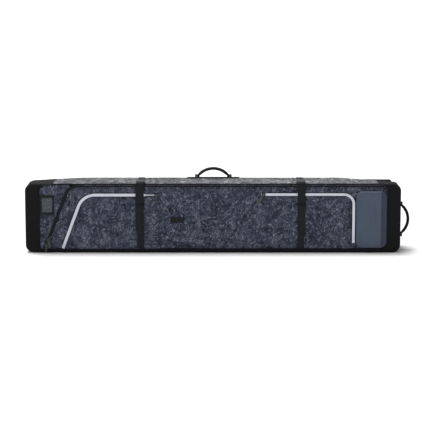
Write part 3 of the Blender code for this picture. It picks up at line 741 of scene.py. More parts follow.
def moulded(name, colour, pale, roughness, grain=420.0, metallic=0.0, depth=0.0003):
    """Moulded plastic, rubber or cast metal: fine grain, slight clouding and worn highlights."""
    material, tree, shader, place = new_material(name, roughness, Metallic=metallic)
    tone = remap(tree, cloudy(tree, place, 35.0, 4.0, 0.6), 0.35, 0.72)
    tree.links.new(blended(tree, tone, colour, pale), shader.inputs["Base Color"])
    worn = cloudy(tree, place, 120.0, 3.0, 0.6)
    tree.links.new(remap(tree, worn, 0.3, 0.7, roughness - 0.08, roughness + 0.10),
                   shader.inputs["Roughness"])
    raise_surface(tree, shader, cloudy(tree, place, grain, 2.0), 0.35, depth)
    return material


def clear_material(name):
    material, tree, shader, place = new_material(name, 0.16, Transmission_Weight=1.0, IOR=1.3,
                                                 Specular_IOR_Level=0.3)
    haze = remap(tree, cloudy(tree, place, 60.0, 3.0), 0.4, 0.7)
    tree.links.new(blended(tree, haze, (0.86, 0.87, 0.90), (0.72, 0.74, 0.79)),
                   shader.inputs["Base Color"])
    raise_surface(tree, shader, cloudy(tree, place, 45.0, 2.0), 0.2, 0.001)
    return material


def card_material(name):
    """Pale card with faint ruled lines, nothing written on it."""
    material, tree, shader, place = new_material(name, 0.75)
    height = wire(tree, "SeparateXYZ", {0: place}).outputs[2]
    lines = maths(tree, "PINGPONG", maths(tree, "SUBTRACT", height, 0.232), 0.009)
    ruled = remap(tree, lines, 0.0006, 0.0012, 0.6, 0.0)
    fibre = cloudy(tree, place, 300.0, 3.0)
    paper = blended(tree, fibre, (0.060, 0.063, 0.082), (0.085, 0.088, 0.112))
    tree.links.new(blended(tree, ruled, paper, (0.03, 0.031, 0.042)), shader.inputs["Base Color"])
    raise_surface(tree, shader, fibre, 0.15, 0.0002)
    return material


FINISH = {
    "camo_cloth": camo_material("camo_cloth", (0.015, 0.017, 0.031), (0.026, 0.029, 0.048),
                                (0.052, 0.058, 0.088), (0.150, 0.160, 0.205), 0.80, 0.02),
    # A lighter copy of the camo print for the top strip: its extra lightness is painted light from above
    # on the same cloth as the front.
    "camo_top_cloth": camo_material("camo_top_cloth", (0.020, 0.021, 0.026),
                                    (0.042, 0.043, 0.050), (0.105, 0.106, 0.115),
                                    (0.310, 0.312, 0.325), 0.75, 0.02, 1.35),
    "black_cloth": plain_cloth("black_cloth", (0.0036, 0.0037, 0.0041), (0.0070, 0.0072, 0.0078),
                               0.80, 0.0018, 0.0),
    "back_cloth": plain_cloth("back_cloth", (0.0075, 0.0077, 0.0083), (0.0150, 0.0153, 0.0162),
                              0.62, 0.0018, 0.05, 0.0030),
    "lining": plain_cloth("lining", (0.020, 0.021, 0.024), (0.032, 0.033, 0.038), 0.85, 0.0014),
    # Its last colour is the painted shade on the end pocket's side strip.
    "grey_cloth": pocket_cloth_painted_side_shade("grey_cloth", (0.060, 0.074, 0.108), (0.072, 0.087, 0.124),
                               (0.030, 0.034, 0.055)),
    "binding": plain_cloth("binding", (0.0030, 0.0036, 0.0060), (0.007, 0.008, 0.011), 0.70,
                           0.0010, 0.0),
    "webbing": webbing_material("webbing", (0.0030, 0.0038, 0.0055), (0.0068, 0.0080, 0.0108)),
    "silver_tape": silver_material("silver_tape"),
    "black_zip": plain_cloth("black_zip", (0.0040, 0.0050, 0.0052), (0.010, 0.0125, 0.0115), 0.60,
                             0.0009, 0.0),
    "zip_teeth": moulded("zip_teeth", (0.006, 0.0075, 0.007), (0.012, 0.0145, 0.013), 0.60),
    "black_plastic": moulded("black_plastic", (0.006, 0.006, 0.0067), (0.013, 0.013, 0.0138), 0.42),
    "pull_plastic": moulded("pull_plastic", (0.028, 0.028, 0.030), (0.065, 0.065, 0.067), 0.38,
                            metallic=0.4),
    "dark_metal": moulded("dark_metal", (0.030, 0.031, 0.034), (0.070, 0.071, 0.075), 0.34,
                          metallic=0.9),
    "steel": moulded("steel", (0.50, 0.51, 0.52), (0.60, 0.61, 0.62), 0.28, metallic=1.0),
    "tyre_rubber": moulded("tyre_rubber", (0.014, 0.014, 0.015), (0.030, 0.030, 0.031), 0.72,
                           260.0, depth=0.0006),
    "clear_sheet": clear_material("clear_sheet"),
    "card": card_material("card"),
    "patch": plain_cloth("patch", (0.0045, 0.0055, 0.0045), (0.010, 0.012, 0.010), 0.55, 0.0011),
    "pale_thread": moulded("pale_thread", (0.10, 0.105, 0.11), (0.15, 0.155, 0.16), 0.6),
    "dark_thread": moulded("dark_thread", (0.012, 0.013, 0.017), (0.020, 0.022, 0.028), 0.6),
}


def give(piece, finish, body, stands_for=()):
    """Gives a finished piece its material, its body and the CAD nodes it replaces."""
    piece.data.materials.clear()
    piece.data.materials.append(FINISH[finish])
    piece.data.polygons.foreach_set("material_index", [0] * len(piece.data.polygons))
    if stands_for:
        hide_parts(*stands_for)
    if body:
        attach(piece, body)
    return piece


def body_of_node(node):
    return frame["nodes"][node]["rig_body"]


# ---------------------------------------------------------------- rows of stitches and teeth

def row_tree(name):
    """Sets one small solid after another along the curves it is given."""
    tree = bpy.data.node_groups.new(name, "GeometryNodeTree")
    face = tree.interface
    face.new_socket("line", in_out="INPUT", socket_type="NodeSocketGeometry")
    for label, start in (("pitch", 0.004), ("length", 0.003), ("width", 0.001),
                         ("height", 0.001)):
        made = face.new_socket(label, in_out="INPUT", socket_type="NodeSocketFloat")
        made.default_value = start
    face.new_socket("finish", in_out="INPUT", socket_type="NodeSocketMaterial")
    face.new_socket("row", in_out="OUTPUT", socket_type="NodeSocketGeometry")
    given, made = tree.nodes.new("NodeGroupInput"), tree.nodes.new("NodeGroupOutput")

    def node(kind, links=None, **settings):
        added = tree.nodes.new("GeometryNode" + kind)
        for key, value in settings.items():
            setattr(added, key, value)
        for socket, source in (links or {}).items():
            tree.links.new(source, added.inputs[socket])
        return added

    places = node("CurveToPoints", {"Curve": given.outputs["line"],
                                    "Length": given.outputs["pitch"]}, mode="LENGTH")
    size = tree.nodes.new("ShaderNodeCombineXYZ")
    for axis, label in enumerate(("width", "height", "length")):
        tree.links.new(given.outputs[label], size.inputs[axis])
    bead = tree.nodes.new("GeometryNodeMeshIcoSphere")
    bead.inputs["Radius"].default_value = 0.5
    bead.inputs["Subdivisions"].default_value = 1
    stitch = node("Transform", {"Geometry": bead.outputs[0], "Scale": size.outputs[0]})
    along = tree.nodes.new("FunctionNodeAlignRotationToVector")
    along.axis = "Z"
    tree.links.new(places.outputs["Tangent"], along.inputs["Vector"])
    set_rows = node("InstanceOnPoints", {"Points": places.outputs["Points"],
                                         "Instance": stitch.outputs[0],
                                         "Rotation": along.outputs[0]})
    real = node("RealizeInstances", {"Geometry": set_rows.outputs[0]})
    coat = node("SetMaterial", {"Geometry": real.outputs[0],
                                "Material": given.outputs["finish"]})
    tree.links.new(coat.outputs[0], made.inputs["row"])
    return tree


def row_inputs(modifier, **values):
    for item in modifier.node_group.interface.items_tree:
        if item.item_type == "SOCKET" and item.in_out == "INPUT" and item.name in values:
            modifier[item.identifier] = values[item.name]


def row(name, lines, finish, body, slot, **sizes):
    """A row of stitches or teeth along 3-D lines, as one mesh."""
    curve = bpy.data.curves.new(name, "CURVE")
    curve.dimensions = "3D"
    for line in lines:
        spline = curve.splines.new("POLY")
        spline.points.add(len(line) - 1)
        for point, place in zip(spline.points, line):
            point.co = (*place, 1.0)
    piece = bpy.data.objects.new(name, curve)
    bpy.context.scene.collection.objects.link(piece)
    rows = piece.modifiers.new("row", "NODES")
    rows.node_group = ROW_TREE
    row_inputs(rows, finish=FINISH[finish], **sizes)
    piece = settled(piece)
    shade(piece)
    return give(piece, finish, body)


ROW_TREE = row_tree("row_of_stitches")
STITCHES = {}                      # body to the lines of stitches on it


def stitch(body, line, thread="dark_thread"):
    STITCHES.setdefault((body, thread), []).append([Vector(p) for p in line])


def stitch_front(body, line, height, thread="dark_thread"):
    stitch(body, front_path(line, height)[0], thread)


# ---------------------------------------------------------------- how the front swells

def held_lines():
    """Lines where the front is sewn, zipped or strapped down, each with its half width."""
    held = [([*main_zip_line()], 0.010), (pocket_1_line(), 0.0105), (pocket_2_line(), 0.0095),
            ([Vector(p) for p in POCKET_2_SEAM], 0.003),
            ([Vector((POCKET_1[2][0], 0.020)), Vector((POCKET_1[2][0], 0.280))], 0.003)]
    for x, tail in STRAPS.values():
        held.append(([Vector((x, 0.018)), Vector((x, 0.334))], STRAP_WIDTH / 2 + 0.001))
        held.append(([Vector((tail, 0.080)), Vector((tail, 0.334))], STRAP_WIDTH / 2 + 0.001))
    x0, x1, z0, z1 = LABEL
    held.append(([Vector((x0, (z0 + z1) / 2)), Vector((x1, (z0 + z1) / 2))], (z1 - z0) / 2))
    x0, x1, z0, z1 = WINDOW
    held.append(([Vector(((x0 + x1) / 2, z0)), Vector(((x0 + x1) / 2, z1))], 0.040))
    x0, x1, z0, z1 = END_POCKET
    for edge in (x0 + 0.004, (x0 + x1) / 2 - 0.03, (x0 + x1) / 2, (x0 + x1) / 2 + 0.03, x1):
        held.append(([Vector((edge, z0)), Vector((edge, z1))], 0.018))
    edge = rectangle(FACE_LEFT, FACE_RIGHT, FACE_BOTTOM, FACE_TOP, 0.03)
    held.append((edge + [edge[0]], 0.006))
    return held


def free_depth(points):
    """How far each point of the front is from what holds it down."""
    depth = np.full(len(points), 1.0)
    for line, half in held_lines():
        depth = np.minimum(depth, distance_to(points, [line], closed=False) - half)
    return np.maximum(depth, 0.0)


SWELL_MOST, SWELL_FRAMES = 0.0062, 20


def blown_front(points, triangles, depth):
    """Cloth simulation of the front under the push of the padding behind it."""
    sheet = add_piece("front_sheet", facing_front(points[:, 0], points[:, 1],
                                                  np.full(len(points), -FRONT)), triangles)
    if sum(p.normal.y for p in sheet.data.polygons) > 0:
        sheet.data.flip_normals()
    held = sheet.vertex_groups.new(name="held")
    held.add([int(i) for i in np.flatnonzero(depth <= 0)], 1.0, "REPLACE")
    cloth = sheet.modifiers.new("cloth", "CLOTH")
    values = cloth.settings
    values.quality = 6
    values.mass = 0.3
    values.tension_stiffness = values.compression_stiffness = 20
    values.shear_stiffness = 8
    values.bending_stiffness = 1.2
    values.shrink_min = -0.025
    values.vertex_group_mass = "held"
    values.use_pressure = True
    values.uniform_pressure_force = 4.0
    values.effector_weights.gravity = 0.0
    cloth.collision_settings.use_collision = False
    scene = bpy.context.scene
    for moment in range(1, SWELL_FRAMES + 1):
        scene.frame_set(moment)
    graph = bpy.context.evaluated_depsgraph_get()
    mesh = sheet.evaluated_get(graph).to_mesh()
    moved = np.empty(len(mesh.vertices) * 3, np.float32)
    mesh.vertices.foreach_get("co", moved)
    lift = FRONT - moved.reshape(-1, 3)[:, 1]
    bpy.data.objects.remove(sheet)
    scene.frame_set(1)
    return lift.astype(float)


def front_swell():
    """A function giving the front's lift at any (x, z) points."""
    outline = rectangle(FACE_LEFT, FACE_RIGHT, FACE_BOTTOM, FACE_TOP, 0.03)
    points, triangles, _ = filled(outline, 0.0085)
    depth = free_depth(points)
    gentle = 0.0048 * (1 - np.exp(-depth / 0.022))
    blown = np.clip(blown_front(points, triangles, depth), -0.0006, 0.030)
    blown = SWELL_MOST * np.tanh(blown / SWELL_MOST)
    lift = BLOWN_SHARE * blown + (1 - BLOWN_SHARE) * gentle
    places = np.stack([points[:, 0], np.zeros(len(points)), points[:, 1]], 1)
    folds = creases(places, 0.11, (1.0, 1.0, 0.55)) + 0.4 * creases(places, 0.035)
    lift += 0.0013 * folds * smooth_step(depth, 0.0, 0.030)
    lift = np.maximum(lift, 0.0)
    tree = KDTree(len(points))
    for i, (x, z) in enumerate(points):
        tree.insert((x, z, 0.0), i)
    tree.balance()

    def lift_at(places):
        result = np.empty(len(places))
        for i, (x, z) in enumerate(places):
            near = tree.find_n((x, z, 0.0), 4)
            shares = [1.0 / (d + 1e-5) ** 2 for _, _, d in near]
            result[i] = sum(s * lift[k] for s, (_, k, _) in zip(shares, near)) / sum(shares)
        result *= smooth_step(free_depth(np.array(places)), -0.004, 0.004)
        return result

    return lift_at


FRONT_SWELL = front_swell()


# ---------------------------------------------------------------- the shell of the bag

def shell_skin(piece, wall=WALL):
    inner = piece.modifiers.new("wall", "SOLIDIFY")
    inner.thickness = wall - 0.0003
    inner.offset = -1.0
    inner.use_even_offset = True
    settled(piece)
    shade(piece, 60)
    return piece


def face_opening(inner):
    """The opening for the front panel in an end cap's front, closed at the cap's inner edge."""
    if inner < 0:
        return rounded([(inner, FACE_BOTTOM, 0), (FACE_LEFT, FACE_BOTTOM, FOOT_CORNER),
                        (FACE_LEFT, FACE_TOP, FACE_CORNER), (inner, FACE_TOP, 0)], closed=False)
    return rounded([(inner, FACE_BOTTOM, 0), (FACE_RIGHT, FACE_BOTTOM, FACE_CORNER),
                    (FACE_RIGHT, FACE_TOP, FACE_CORNER), (inner, FACE_TOP, 0)], closed=False)


def housing_holes():
    holes = []
    for z in WHEEL_Z.values():
        holes.append(rectangle(-0.9058, -0.8257, z - 0.0273, z + 0.0273))
    return holes


def end_cap(name, inner):
    """A cap: its front with the opening, its back, and the band that goes round the end."""
    outer = even(bag_outline(inner), 0.008)
    rings = [ROLL * k for k in (0.12, 0.3, 0.5, 0.75, 1.0)]
    work = bmesh.new()

    def add_flat(outline, holes, side):
        points, triangles, _ = filled(outline, 0.011, holes, rings)
        edge = distance_to(points, [outer], closed=False)
        fall = rolled(edge, ROLL)
        dent = 0.0010 * (1 + creases(np.stack([points[:, 0], points[:, 1], points[:, 0] * 0], 1),
                                     0.09)) * smooth_step(edge, ROLL, 0.03)
        y = side * (BACK - fall - dent)
        places = taper(np.stack([points[:, 0], y, points[:, 1]], 1))
        verts = [work.verts.new(p) for p in places]
        for a, b, c in triangles:
            face = (verts[a], verts[b], verts[c])
            work.faces.new(face if side < 0 else face[::-1])

    opening = face_opening(inner)
    add_flat([*outer, *opening], (), -1)
    add_flat(outer, housing_holes() if inner < 0 else (), 1)
    depths = np.linspace(FRONT + ROLL, BACK - ROLL, 21)
    normals = [(b - a).normalized() for a, b in zip(outer, offset(outer, 0.001))]
    inward = 1 if (normals[len(normals) // 2].x > 0) == (inner < 0) else -1
    grid = []
    for place, normal in zip(outer, normals):
        row_points = []
        for y in depths:
            window = math.sin(math.pi * (y - depths[0]) / (depths[-1] - depths[0])) ** 0.7
            fold = noise.fractal(Vector((place.x * 11, y * 16, place.y * 11)) + SEED, 1.0, 2.0, 3)
            dent = 0.0014 * window * (1 + fold)
            spot = place + normal * inward * dent
            row_points.append((spot.x, y, spot.y))
        grid.append([work.verts.new(p) for p in taper(np.array(row_points))])
    for a, b in zip(grid, grid[1:]):
        for k in range(len(depths) - 1):
            work.faces.new((a[k], b[k], b[k + 1], a[k + 1]))
    bmesh.ops.remove_doubles(work, verts=work.verts, dist=5e-5)
    bmesh.ops.recalc_face_normals(work, faces=work.faces)
    mesh = bpy.data.meshes.new(name)
    work.to_mesh(mesh)
    work.free()
    piece = bpy.data.objects.new(name, mesh)
    bpy.context.scene.collection.objects.link(piece)
    centre = Vector(((outer[0].x + outer[len(outer) // 2].x) / 2, 0, HEIGHT / 2))
    agree = sum(p.normal.dot(p.center - centre) for p in mesh.polygons)
    if agree < 0:
        mesh.flip_normals()
    return shell_skin(piece)


def gusset(name, section, low_x, high_x, fold=0.0012):
    """A strip of the shell: a (y, z) section carried along the bag, with shallow folds."""
    section = even([Vector(p) for p in section], 0.009)
    columns = np.linspace(low_x, high_x, int((high_x - low_x) / 0.010))
    centre = Vector((0.0, HEIGHT / 2))
    count = len(section)
    normals = []
    for i in range(count):
        along = section[min(i + 1, count - 1)] - section[max(i - 1, 0)]
        normal = Vector((-along.y, along.x)).normalized()
        normals.append(normal if normal.dot(section[i] - centre) < 0 else -normal)
    points = []
    for x in columns:
        for i, (place, normal) in enumerate(zip(section, normals)):
            window = math.sin(math.pi * i / (count - 1)) ** 0.6
            ends = min(1.0, (x - low_x) / 0.03, (high_x - x) / 0.03)
            crease = noise.fractal(Vector((x * 7, place.x * 14, place.y * 14)) + SEED, 1, 2, 3)
            dent = fold * window * max(ends, 0.0) * (1 + crease)
            spot = place + normal * dent
            points.append((x, spot.x, spot.y))
    points = taper(np.array(points))
    faces = [(c * count + i, c * count + i + 1, (c + 1) * count + i + 1, (c + 1) * count + i)
             for c in range(len(columns) - 1) for i in range(count - 1)]
    piece = add_piece(name, points, faces)
    middle = Vector(((low_x + high_x) / 2, 0, HEIGHT / 2))
    agree = sum(p.normal.dot(Vector((0, p.center.y, p.center.z - middle.z)))
                for p in piece.data.polygons)
    if agree < 0:
        piece.data.flip_normals()
    return shell_skin(piece, 0.0032)


def quarter(centre, radius, start, end, steps=6):
    return [(centre[0] + radius * math.cos(math.radians(start + (end - start) * i / steps)),
             centre[1] + radius * math.sin(math.radians(start + (end - start) * i / steps)))
            for i in range(steps + 1)]


def tube(name, path, radius, finish, body, stands_for=(), squash=1.0):
    """A cord of piping along a 3-D path."""
    path = [Vector(p) for p in path]
    across, outward = [], []
    side = None
    for i in range(len(path)):
        along = (path[min(i + 1, len(path) - 1)] - path[max(i - 1, 0)]).normalized()
        side = side or along.orthogonal().normalized()
        side = (side - along * side.dot(along)).normalized()
        across.append(side.copy())
        outward.append(along.cross(side))
    piece = sweep(name, path, across, outward, oval_profile(radius, radius * squash, 10))
    return give(piece, finish, body, stands_for)


def build_shell():
    body = "bag_body"
    left, right = end_cap("left_cap", CAP_LEFT), end_cap("right_cap", CAP_RIGHT)
    give(left, "black_cloth", body, ["left_end_cap"])
    give(right, "black_cloth", body, ["right_end_cap"])
    x0, x1 = CAP_LEFT + GAP, CAP_RIGHT - GAP
    top = [(FRONT + 0.0066, HEIGHT - 0.0010), (FRONT + 0.020, HEIGHT), (BACK - ROLL, HEIGHT)]
    top += quarter((BACK - ROLL, HEIGHT - ROLL), ROLL, 90, 5)[1:]
    # The top strip takes the lighter camo copy, whose extra lightness is painted light from above.
    give(gusset("top_gusset_cloth", top, x0, x1), "camo_top_cloth", body, ["top_gusset"])
    foot = quarter((BACK - ROLL, ROLL), ROLL, -5, -90) + [(FRONT + 0.006, 0.0)]
    foot += quarter((FRONT + 0.006, 0.006), 0.006, -90, -180)[1:]
    foot += [(FRONT, FACE_BOTTOM - GAP)]
    give(gusset("bottom_gusset_cloth", foot, x0, x1, 0.0004), "black_cloth", body,
         ["bottom_gusset"])
    back = [(BACK, ROLL), (BACK, HEIGHT / 2), (BACK, HEIGHT - ROLL)]
    give(gusset("back_panel_cloth", back, x0, x1, 0.0016), "back_cloth", body, ["back_panel"])

    def tapered(line):
        return [tuple(p) for p in taper(np.array(line))]

    for name, y, z in (("top_back_piping", BACK - 0.0008, HEIGHT - ROLL),
                       ("bottom_back_piping", BACK - 0.0008, ROLL)):
        line = tapered([(x, y, z) for x in np.linspace(x0, x1, 120)])
        tube(name, line, BACK_PIPING, "binding", body)
    front_line = [(x, FRONT + 0.0026, HEIGHT - 0.0030) for x in np.linspace(x0, x1, 120)]
    tube("top_front_piping", front_line, TOP_PIPING, "binding", body, ["top_piping"])
    for name, x in (("left_cap_seam", CAP_LEFT), ("right_cap_seam", CAP_RIGHT)):
        ring = [(FRONT + 0.004, HEIGHT - 0.0010), (FRONT + 0.010, HEIGHT - 0.0008),
                (BACK - ROLL, HEIGHT - 0.0008)]
        ring += quarter((BACK - ROLL, HEIGHT - ROLL), ROLL - 0.0006, 90, 0)
        ring += [(BACK - 0.0006, HEIGHT / 2)]
        ring += quarter((BACK - ROLL, ROLL), ROLL - 0.0006, 0, -55)
        ring = even([Vector(p) for p in ring], 0.012)
        line = tapered([(x, p.x, p.y) for p in ring])
        tube(name, line, RING_PIPING, "binding", body)
    for name, outline in (("left_face_piping", face_opening(CAP_LEFT)),
                          ("right_face_piping", face_opening(CAP_RIGHT))):
        line = [(p.x, FRONT - 0.0002, p.y) for p in even(outline, 0.008)]
        tube(name, line, FACE_PIPING, "binding", body)


def quilt(points, spacing, depth):
    """Shallow sewn channels crossing at a slant."""
    a = np.abs(((points[:, 0] + points[:, 1]) / spacing) % 1.0 - 0.5) * spacing
    b = np.abs(((points[:, 0] - points[:, 1]) / spacing) % 1.0 - 0.5) * spacing
    near = np.minimum(spacing / 2 - a, spacing / 2 - b)
    return depth * np.exp(-(near / 0.0035) ** 2)


def build_linings():
    low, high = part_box("back_padding")
    flat = filled(rectangle(low.x, high.x, low.z, high.z, 0.012), 0.011, rings=[0.002, 0.005])
    face = -low.y - rolled(flat[2], 0.005) - quilt(flat[0], 0.11, 0.0030)
    lining = closed_body("back_lining", flat, face, np.full(len(face), -high.y), facing_front)
    give(lining, "lining", "bag_body", ["back_padding"])
    lid = filled(lid_outline(LID_EDGE + 0.010), 0.011, rings=[0.002, 0.005])
    low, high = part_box("lid_padding")
    inner = high.y - rolled(lid[2], 0.005) - quilt(lid[0], 0.11, 0.0028)
    pad = closed_body("lid_lining", lid, inner, np.full(len(inner), low.y), facing_back)
    give(pad, "lining", "lid", ["lid_padding"])
    for side in ("left", "right"):
        node = f"inner_strap_{side}"
        low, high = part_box(node)
        x, y = (low.x + high.x) / 2, (low.y + high.y) / 2
        heights = np.linspace(low.z, high.z, 26)
        path = [Vector((x, y - 0.0016 * math.sin(math.pi * i / 25) ** 2, z))
                for i, z in enumerate(heights)]
        strap = sweep(node, path, [Vector((1, 0, 0))] * 26, [Vector((0, -1, 0))] * 26,
                      webbing_profile(STRAP_WIDTH, 0.0017))
        strap.name = f"{node}_webbing"
        give(strap, "webbing", "bag_body", [node])


# ---------------------------------------------------------------- front panels and pockets

def build_front_panels():
    left = cloth_panel("left_front_cloth", left_panel_outline(), FRONT, FRONT + WALL, 0.0018)
    give(left, "camo_cloth", "bag_body", ["front_left_panel"])
    lid = cloth_panel("lid_cloth", lid_outline(LID_EDGE), FRONT, FRONT + WALL, 0.0020, 0.0075)
    give(lid, "camo_cloth", "lid", ["lid_panel"])
    garage = cloth_panel("zip_garage_cloth", garage_outline(), FRONT, FRONT + WALL, 0.0015,
                         0.006, swell=False)
    give(garage, "camo_cloth", "bag_body", ["zip_garage"])
    back = FRONT - GAP
    panel = cloth_panel("pocket_1_cloth", pocket_1_outline(), TRIM + 0.0004, back, 0.0010, 0.0080)
    give(panel, "camo_cloth", "lid", ["pocket_1_panel"])
    panel = cloth_panel("pocket_2_cloth", pocket_2_outline(), TRIM + 0.0004, back, 0.0010, 0.0080)
    give(panel, "camo_cloth", "lid", ["pocket_2_panel"])
    seam = [Vector(p) for p in POCKET_2_SEAM]
    tube("pocket_2_seam_cord", front_path(seam, TRIM + 0.0006)[0], SEAM_CORD, "binding", "lid")
    side = [Vector((POCKET_1[2][0], POCKET_FOOT)), Vector((POCKET_1[2][0], 0.275))]
    stitch_front("lid", offset(side, 0.004), TRIM + 0.0002)
    stitch_front("lid", offset(seam, -0.0035), TRIM + 0.0002)
    stitch_front("lid", above(offset(pocket_1_line(), -0.0125), STITCH_FOOT), POCKET_PLANE)
    stitch_front("lid", offset(pocket_1_line(), 0.0120), SEAM_PLANE)
    stitch_front("lid", offset(pocket_2_line(), -0.0110), POCKET_PLANE)
    stitch_front("lid", offset(pocket_2_line(), 0.0105), SEAM_PLANE)
    zip_line = main_zip_line()
    stitch_front("lid", offset(above(zip_line, LID_FROM), -0.0105), SEAM_PLANE)
    stitch_front("bag_body", offset(above(zip_line, 0.03), 0.0105)[:12], SEAM_PLANE)
    hinge = [Vector((x, z)) for x, z in ((LID_FOOT.x + 0.01, HINGE_STITCH_Z), (0.79, HINGE_STITCH_Z))]
    stitch_front("lid", hinge, SEAM_PLANE)


def build_hinge():
    """The strip of cloth at the foot of the lid, given no body."""
    columns = np.linspace(-0.764, CAP_RIGHT - 0.004, 170)
    low, high = HINGE_STRIP
    rows_z = np.linspace(low, high, 9)
    points = []
    for x in columns:
        for z in rows_z:
            away = 0.0006 * math.cos(math.pi * (z - (low + high) / 2) / (high - low))
            points.append((x, FRONT - 0.0006 - away, z))
    for x in columns:
        for z in rows_z:
            points.append((x, FRONT - 0.0001, z))
    faces = slab_faces(len(columns), len(rows_z))
    piece = add_piece("hinge_cloth", np.array(points), faces, 50)
    give(piece, "binding", None)
    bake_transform(piece)


def build_end_pocket():
    """The raised pocket at the right: a soft box with a folded side and a seam round it."""
    x0, x1, z0, z1 = END_POCKET
    outline = rectangle(x0, x1, z0, z1, 0.030)
    flat = filled(outline, 0.005, rings=[0.0006, 0.0016, 0.003, 0.0052, 0.008])
    points, _, edge = flat
    rise = END_POCKET_RISE - rolled(edge, END_POCKET_ROLL) + 0.0012 * (1 - np.exp(-edge / 0.03))
    fold = points[:, 0] - POCKET_FOLD - 0.0020 * np.sin((points[:, 1] - z0) / (z1 - z0) * math.pi)
    within = smooth_step(edge, 0.003, 0.010)
    rise -= FOLD_DEPTH * np.exp(-(fold / FOLD_WIDTH) ** 2) * within
    rise -= (0.0020 + 0.22 * np.clip(fold, 0, 0.03)) * smooth_step(fold, -0.003, 0.003) * within
    places = np.stack([points[:, 0], points[:, 0] * 0, points[:, 1]], 1)
    rise += 0.0006 * creases(places, 0.06, (1.0, 1.0, 0.5)) * within
    face = -(FRONT - GAP) + np.maximum(rise, 0.0008)
    pocket = closed_body("end_pocket_cloth", flat, face, np.full(len(face), -(FRONT - GAP)),
                         facing_front)
    give(pocket, "grey_cloth", "lid", ["end_pocket_panel"])
    seam = rectangle(x0 - 0.0004, x1 + 0.0004, z0 - 0.0004, z1 + 0.0004, 0.0304)
    line = [(p.x, FRONT - 0.0008, p.y) for p in even(seam + [seam[0]], 0.006)]
    tube("end_pocket_cord", line, SEAM_CORD, "binding", "lid")


# ---------------------------------------------------------------- zips

def zip_tape(name, line, low, high, front, back, body, node):
    """One half of the main zip: a flat tape, thicker where its teeth are."""
    middle, half = (low + high) / 2, abs(high - low) / 2
    centre = offset(line, middle)
    path, across, outward = front_path(centre, (front + back) / 2, 0.008)
    thick = (back - front) / 2
    profile = [(half, -thick), (half, thick * 0.2), (half * 0.4, thick * 0.6), (-half * 0.4, thick * 0.6),
               (-half, thick * 0.2), (-half, -thick)]
    piece = sweep(name, path, across, outward, profile, sharp=40)
    return give(piece, "black_zip", body, [node])


def build_main_zip():
    zip_line = main_zip_line()
    fixed = above(zip_line, FACE_BOTTOM + GAP)
    moving = above(zip_line, LID_FROM)
    back = FRONT + 0.0025
    zip_tape("main_zip_body_side", fixed, GAP, ZIP_HALF, FRONT, back, "bag_body",
             "main_zip_body_tape")
    zip_tape("main_zip_lid_side", moving, -GAP, -ZIP_HALF, FRONT, back, "lid",
             "main_zip_lid_tape")
    zip_welt("main_zip_body_welt", zip_line, 1, "bag_body")
    zip_welt("main_zip_lid_welt", zip_line, -1, "lid")
    sizes = {"pitch": 0.0030, "length": 0.0017, "width": 0.0026, "height": 0.0026}
    height = FRONT + 0.0004
    row("main_zip_body_teeth", [front_path(offset(fixed, 0.0016), height, 0.01)[0]],
        "zip_teeth", "bag_body", "black_zip", **sizes)
    row("main_zip_lid_teeth", [front_path(offset(moving, -0.0016), height, 0.01)[0]],
        "zip_teeth", "lid", "black_zip", **sizes)


def zip_welt(name, line, side, body):
    """The folded edge of the cloth that covers the tape along the top and the right side."""
    start = next(i for i, p in enumerate(line) if p.y > ZIP_TOP - 0.0005 or p.x > -0.66)
    line = even(line[start - 1:], 0.010)
    centre = offset(line, side * 0.0056)
    path, across, outward = front_path(centre, FRONT + 0.0002, 0.010)
    length = [0.0]
    for a, b in zip(path, path[1:]):
        length.append(length[-1] + (b - a).length)
    wide = [0.15 + 0.85 * min(1.0, where / 0.045) for where in length]
    across = [a * w for a, w in zip(across, wide)]
    path = [p + a * side * 0.0016 * (1 - w) for p, a, w in zip(path, across, wide)]
    profile = [(0.0016, -0.0007), (0.0016, 0.0002), (0.0010, 0.0007), (-0.0010, 0.0007),
               (-0.0016, 0.0002), (-0.0016, -0.0007)]
    piece = sweep(name, path, across, outward, profile, sharp=60)
    return give(piece, "camo_cloth", body)


def tape_lines(line, half, after, thin):
    """The tape's two edges; past `after` along X it narrows to `thin`."""
    centre = even(line, 0.008)
    unit = [(b - a).normalized() for a, b in zip(centre, offset(centre, 0.001))]
    widths = [half - (half - thin) * smooth_step(np.array([p.x]), after - 0.003, after + 0.003)[0]
              for p in centre]
    return centre, unit, widths


def silver_zip(name, line, half, node, after=9.0, thin=0.004):
    """A silvery tape with a ridge down its middle, and a dark cord along each side; the cords stand
    partly for dark piping and partly for painted shade in the gaps at the tape's edges.
    """
    centre, unit, widths = tape_lines(line, half, after, thin)
    path = [Vector((p.x, TRIM + 0.0004, p.y)) for p in centre]
    profile = [(1, -0.0009), (0.97, 0.0002), (0.18, 0.0006), (0.09, 0.0001), (-0.09, 0.0001),
               (-0.18, 0.0006), (-0.97, 0.0002), (-1, -0.0009)]
    across = [Vector((u.x, 0, u.y)) * (w - 0.0012) for u, w in zip(unit, widths)]
    piece = sweep(name, path, across, [Vector((0, -1, 0))] * len(path), profile, sharp=40)
    give(piece, "silver_tape", "lid", [node])
    # The dark cords are partly piping and partly painted shade in the gaps beside the tape.
    for side, sign in (("outer", 1), ("inner", -1)):
        cord = [Vector((p.x + sign * u.x * w, TRIM + 0.0004, p.y + sign * u.y * w))
                for p, u, w in zip(centre, unit, widths)]
        tube(f"{name}_{side}_cord", cord, 0.0015, "binding", "lid")


def build_pocket_zips():
    silver_zip("pocket_1_tape", pocket_1_line(), POCKET_1_ZIP / 2, "pocket_1_zip", -0.330)
    silver_zip("pocket_2_tape", pocket_2_line(), POCKET_2_ZIP / 2 + 0.0008, "pocket_2_zip")


